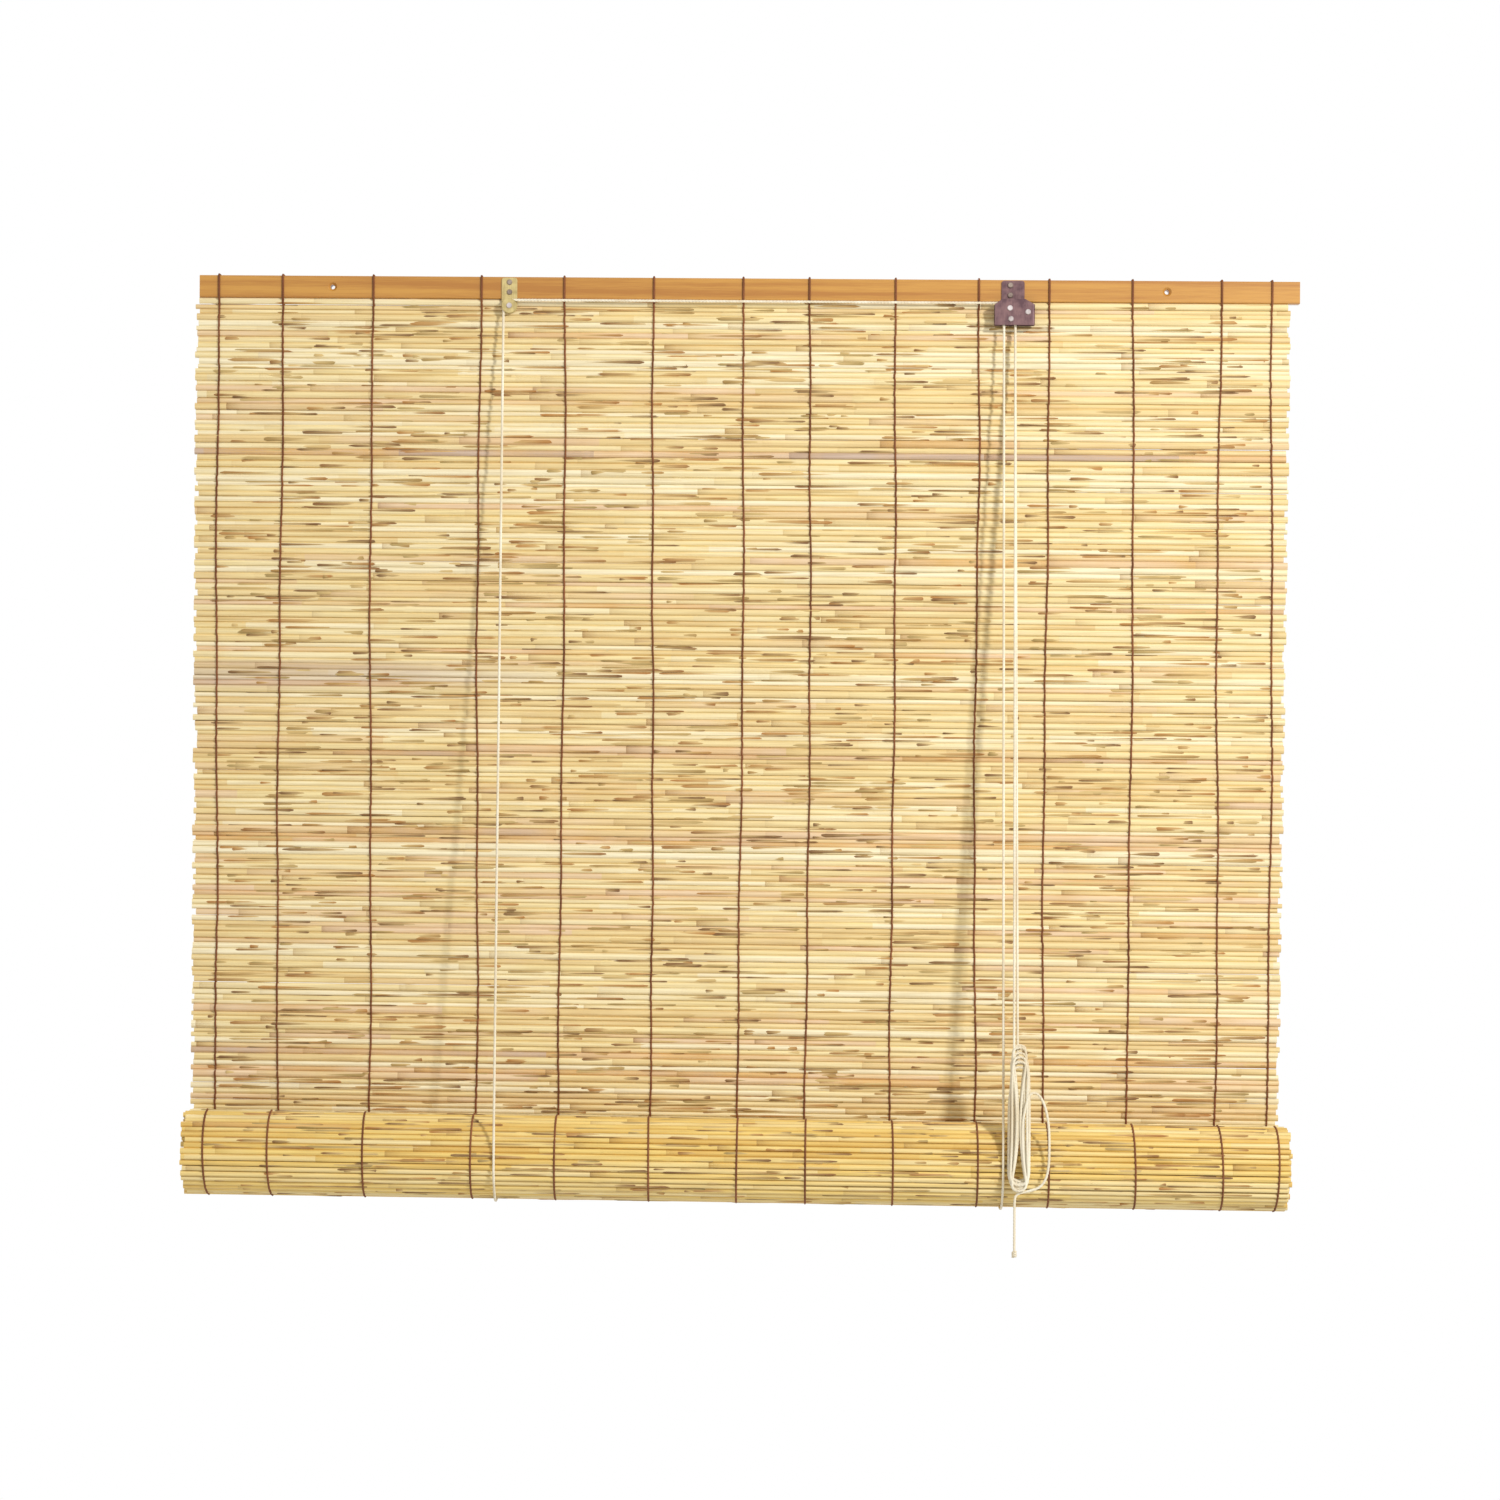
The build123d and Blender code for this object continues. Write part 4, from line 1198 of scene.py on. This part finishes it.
def roll_plan(sizes):
    """Reeds along the spiral of the roll, as (reed, direction outwards, half turn), from the outside in."""
    rng = random.Random(ROLL_SEED)
    shapes = reed_shapes(ROLL_SEED, roll_half, sizes.reed_radius)
    turned = roll_matrix()
    step = (mat_high.y - mat_low.y + sizes.turn_gap) / 2
    reeds = []
    half_turn = 0
    radius = winding_radius
    while radius > ROLL_CORE:
        count = round(math.pi * radius / (2 * sizes.reed_radius))
        for reed in range(count):
            angle = -math.pi * (half_turn % 2 + (reed + 0.5) / count)
            way = Vector((0, math.cos(angle), math.sin(angle)))
            scatter = rng.uniform(-1, 1) * ROLL_SCATTER
            place = way * radius - Vector((scatter, step * (half_turn % 2), 0))
            thick = rng.uniform(*ROLL_THICKNESS)
            flip = Matrix.Rotation(rng.choice((0, math.pi)), 4, "Z")
            spin = Matrix.Rotation(rng.uniform(0, math.tau), 4, "X")
            size = Matrix.Diagonal((1 - rng.random() * sizes.reed_end / roll_half, thick, thick, 1))
            matrix = turned @ Matrix.Translation(place) @ flip @ spin @ size
            shape = rng.randrange(REED_SHAPES)
            reeds.append((Reed(shape, shapes[shape], matrix, thick, tone_of(rng)), way, half_turn))
        half_turn += 1
        radius -= step
    return reeds


def outer_turn(plan):
    """Reeds of the roll's outer turn, as (reed, direction outwards)."""
    return [(reed, way) for reed, way, half_turn in plan if half_turn < 2]


class BLIND_OT_reed_roll(bpy.types.Operator):
    """Make the roll from reeds wound in a spiral"""

    bl_idname = "blind.reed_roll"
    bl_label = "Reed roll"

    def execute(self, context):
        sizes = context.scene.blind_sizes
        colours = context.scene.blind_colours
        rng = random.Random(SHEATH_SEED + 1)
        finish = reed_finish("golden reed", roll_stops(colours), colours.joint_brown)
        shapes = reed_shapes(ROLL_SEED, roll_half, sizes.reed_radius)
        blanks = make_reed_blanks(shapes, finish)
        sheaths = make_sheath_blanks(sizes.reed_radius, sheath_finish("golden sheath", colours))
        plan = roll_plan(sizes)
        pieces = [copy_of(blanks[reed.shape], reed.matrix, reed.tone) for reed, _, _ in plan]
        outer = outer_turn(plan)
        for _ in range(sizes.roll_sheaths):
            reed, way = rng.choice(outer)
            pieces.append(
                lay_sheath(rng, reed, roll_centre.x, roll_half, way, sheaths, sizes, roll_slope)
            )
        roll = join_pieces(pieces, "reed_roll")
        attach(roll, "roll")
        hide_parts("rolled_mat")
        drop_blanks(blanks + sheaths)
        return {"FINISHED"}


class BLIND_OT_roll_threads(bpy.types.Operator):
    """Make the threads round the roll"""

    bl_idname = "blind.roll_threads"
    bl_label = "Roll threads"

    def execute(self, context):
        sizes = context.scene.blind_sizes
        colours = context.scene.blind_colours
        rng = random.Random(THREAD_SEED + 1)
        material = thread_finish("brown roll thread", colours)
        curve = round_curve("roll_threads", sizes.thread_radius)
        outer = outer_turn(roll_plan(sizes))
        for x in thread_places:
            drift = wander(rng, sizes.thread_wander)
            add_spline(curve, "NURBS", self.ring_route(x, outer, drift, sizes))
        piece = curve_to_mesh("roll_threads", curve)
        finish_piece(piece, material)
        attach(piece, "roll")
        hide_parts(*(f"roll_thread_{n:02d}" for n in range(1, len(thread_places) + 1)))
        return {"FINISHED"}

    def ring_route(self, x, outer, drift, sizes):
        """Thread over every reed of the outer turn and into the valley after it."""
        points = []
        before = None
        for number, (reed, way) in enumerate(outer):
            middle, radius = reed.at(x + drift(number * 2 * sizes.reed_radius))
            if before is not None:
                points.append((before + middle) / 2 + way * RING_VALLEY_SHARE * radius)
            points.append(middle + way * (radius + RING_PROUD_SHARE * sizes.thread_radius))
            before = middle
        return points


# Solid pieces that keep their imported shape


class BLIND_OT_fittings(bpy.types.Operator):
    """Finish the batten, the slat, the pulley and the cord lock"""

    bl_idname = "blind.fittings"
    bl_label = "Batten and fittings"

    def execute(self, context):
        colours = context.scene.blind_colours
        wood = wood_finish("varnished batten", colours.batten_light, colours.batten_dark, coat=0.25)
        slat = wood_finish("plain slat", colours.slat_light, colours.slat_dark, coat=0.0)
        zinc = metal_finish("yellow zinc", colours.zinc_light, colours.zinc_dark, 0.55, 172)
        bronze = metal_finish("bronzed steel", colours.bronze_light, colours.bronze_dark, 0.35, 178)
        steel = metal_finish("bright steel", colours.steel_light, colours.steel_dark, 0.75, 148)
        dull = metal_finish("dull screw steel", colours.screw_light, colours.screw_dark, 0.6, 186)
        finishes = {
            "head_batten": wood, "bottom_batten": slat, "pulley_bracket": zinc, "pulley_wheel": zinc,
            "lock_wheel": zinc, "lock_housing": bronze, "lock_cam": bronze, "strap_screws": dull,
            "pulley_pin": steel, "lock_wheel_pin": steel, "lock_anvil": steel, "lock_cam_pin": steel,
        }
        for node, material in finishes.items():
            mesh = frame["nodes"][node].data
            mesh.materials.clear()
            mesh.materials.append(material)
        return {"FINISHED"}


# Stage


class BLIND_OT_stage(bpy.types.Operator):
    """Set up the floor, the lights, the white surround and the camera"""

    bl_idname = "blind.stage"
    bl_label = "Stage"

    def execute(self, context):
        scene = context.scene
        sizes = scene.blind_sizes
        scene.view_settings.view_transform = "Standard"
        self.make_floor(sizes, scene.blind_colours)
        self.make_surround(scene)
        middle = Vector((0.0, mat_y, (cad_box[0].z + cad_box[1].z) / 2))
        for name, settings in LAMPS.items():
            self.add_lamp(name, middle, *settings)
        self.make_camera(scene, sizes)
        return {"FINISHED"}

    def make_floor(self, sizes, colours):
        """Wide pale floor under the blind."""
        clear_selection()
        bpy.ops.mesh.primitive_plane_add(size=FLOOR_SIZE, location=(0, 0, -sizes.floor_drop))
        floor = bpy.context.object
        floor.name = "floor"
        bpy.ops.object.transform_apply(location=True)
        material, tree, shader = start_material("pale floor")
        grain = stretched_noise(tree, FLOOR_GRAIN, 4.0)
        pale = colours.floor_pale
        shade = (*(channel * FLOOR_SHADE_SHARE for channel in pale[:3]), 1.0)
        tree.links.new(ramp(tree, grain, ((0.3, shade), (0.7, pale))), shader.inputs["Base Color"])
        shader.inputs["Roughness"].default_value = 0.8
        floor.data.materials.append(material)

    def make_surround(self, scene):
        """White to the camera and to gloss, softer as light."""
        world = bpy.data.worlds.new("white surround")
        scene.world = world
        world.use_nodes = True
        tree = world.node_tree
        tree.nodes.clear()
        path = add_node(tree, "ShaderNodeLightPath")
        seen = maths(tree, "MAXIMUM", path.outputs["Is Camera Ray"], path.outputs["Is Glossy Ray"])
        seen = maths(tree, "MAXIMUM", seen, path.outputs["Is Transmission Ray"])
        soft = {"Color": tint(255, 253, 250), "Strength": SURROUND_LIGHT}
        light = add_node(tree, "ShaderNodeBackground", soft)
        white = add_node(tree, "ShaderNodeBackground", {"Color": (1, 1, 1, 1), "Strength": 1.0})
        inputs = {0: seen, 1: light.outputs["Background"], 2: white.outputs["Background"]}
        blend = add_node(tree, "ShaderNodeMixShader", inputs)
        output = add_node(tree, "ShaderNodeOutputWorld")
        tree.links.new(blend.outputs["Shader"], output.inputs["Surface"])

    def add_lamp(self, name, middle, turn, rise, distance, size, power):
        """Square soft lamp, aimed at the middle of the blind."""
        lamp = bpy.data.lights.new(name, "AREA")
        lamp.size = size
        lamp.energy = power
        holder = bpy.data.objects.new(name, lamp)
        bpy.context.scene.collection.objects.link(holder)
        turned, raised = math.radians(turn), math.radians(rise)
        way = Vector((
            math.sin(turned) * math.cos(raised), -math.cos(turned) * math.cos(raised), math.sin(raised)
        ))
        holder.location = middle + way * distance
        holder.rotation_euler = way.to_track_quat("Z", "Y").to_euler()

    def make_camera(self, scene, sizes):
        """Camera straight in front, turned a little about its own axis."""
        camera = bpy.data.cameras.new("camera")
        camera.sensor_width = 36.0
        camera.lens = camera.sensor_width * sizes.camera_distance / sizes.picture_width
        camera.clip_end = 100
        holder = bpy.data.objects.new("camera", camera)
        scene.collection.objects.link(holder)
        holder.location = (CAMERA_X, mat_y - sizes.camera_distance, CAMERA_Z)
        level = Matrix.Rotation(math.pi / 2, 4, "X")
        holder.rotation_euler = (level @ Matrix.Rotation(CAMERA_ROLL, 4, "Z")).to_euler()
        scene.camera = holder


class BLIND_PT_panel(bpy.types.Panel):
    """Steps and settings of the blind"""

    bl_label = "Reed roller blind"
    bl_idname = "BLIND_PT_panel"
    bl_space_type = "VIEW_3D"
    bl_region_type = "UI"
    bl_category = "Blind"

    def draw(self, context):
        for operator in OPERATORS:
            self.layout.operator(operator.bl_idname)
        for group in (context.scene.blind_sizes, context.scene.blind_colours):
            box = self.layout.box()
            for name in group.__annotations__:
                box.prop(group, name)


OPERATORS = (
    BLIND_OT_stage, BLIND_OT_pull_cords, BLIND_OT_lift_cords, BLIND_OT_fittings, BLIND_OT_reed_mat,
    BLIND_OT_warp_threads, BLIND_OT_reed_roll, BLIND_OT_roll_threads,
)
CLASSES = (BlindSizes, BlindColours, *OPERATORS, BLIND_PT_panel)


def register():
    """Make the classes and settings known."""
    for entry in CLASSES:
        bpy.utils.register_class(entry)
    bpy.types.Scene.blind_sizes = PointerProperty(type=BlindSizes)
    bpy.types.Scene.blind_colours = PointerProperty(type=BlindColours)


def unregister():
    """Take the classes and settings away again."""
    del bpy.types.Scene.blind_colours
    del bpy.types.Scene.blind_sizes
    for entry in reversed(CLASSES):
        bpy.utils.unregister_class(entry)


def main():
    """Dress the blind piece by piece."""
    register()
    bpy.ops.blind.stage()
    bpy.ops.blind.pull_cords()
    bpy.ops.blind.lift_cords()
    bpy.ops.blind.fittings()
    bpy.ops.blind.reed_mat()
    bpy.ops.blind.warp_threads()
    bpy.ops.blind.reed_roll()
    bpy.ops.blind.roll_threads()


if __name__ == "__main__":
    main()
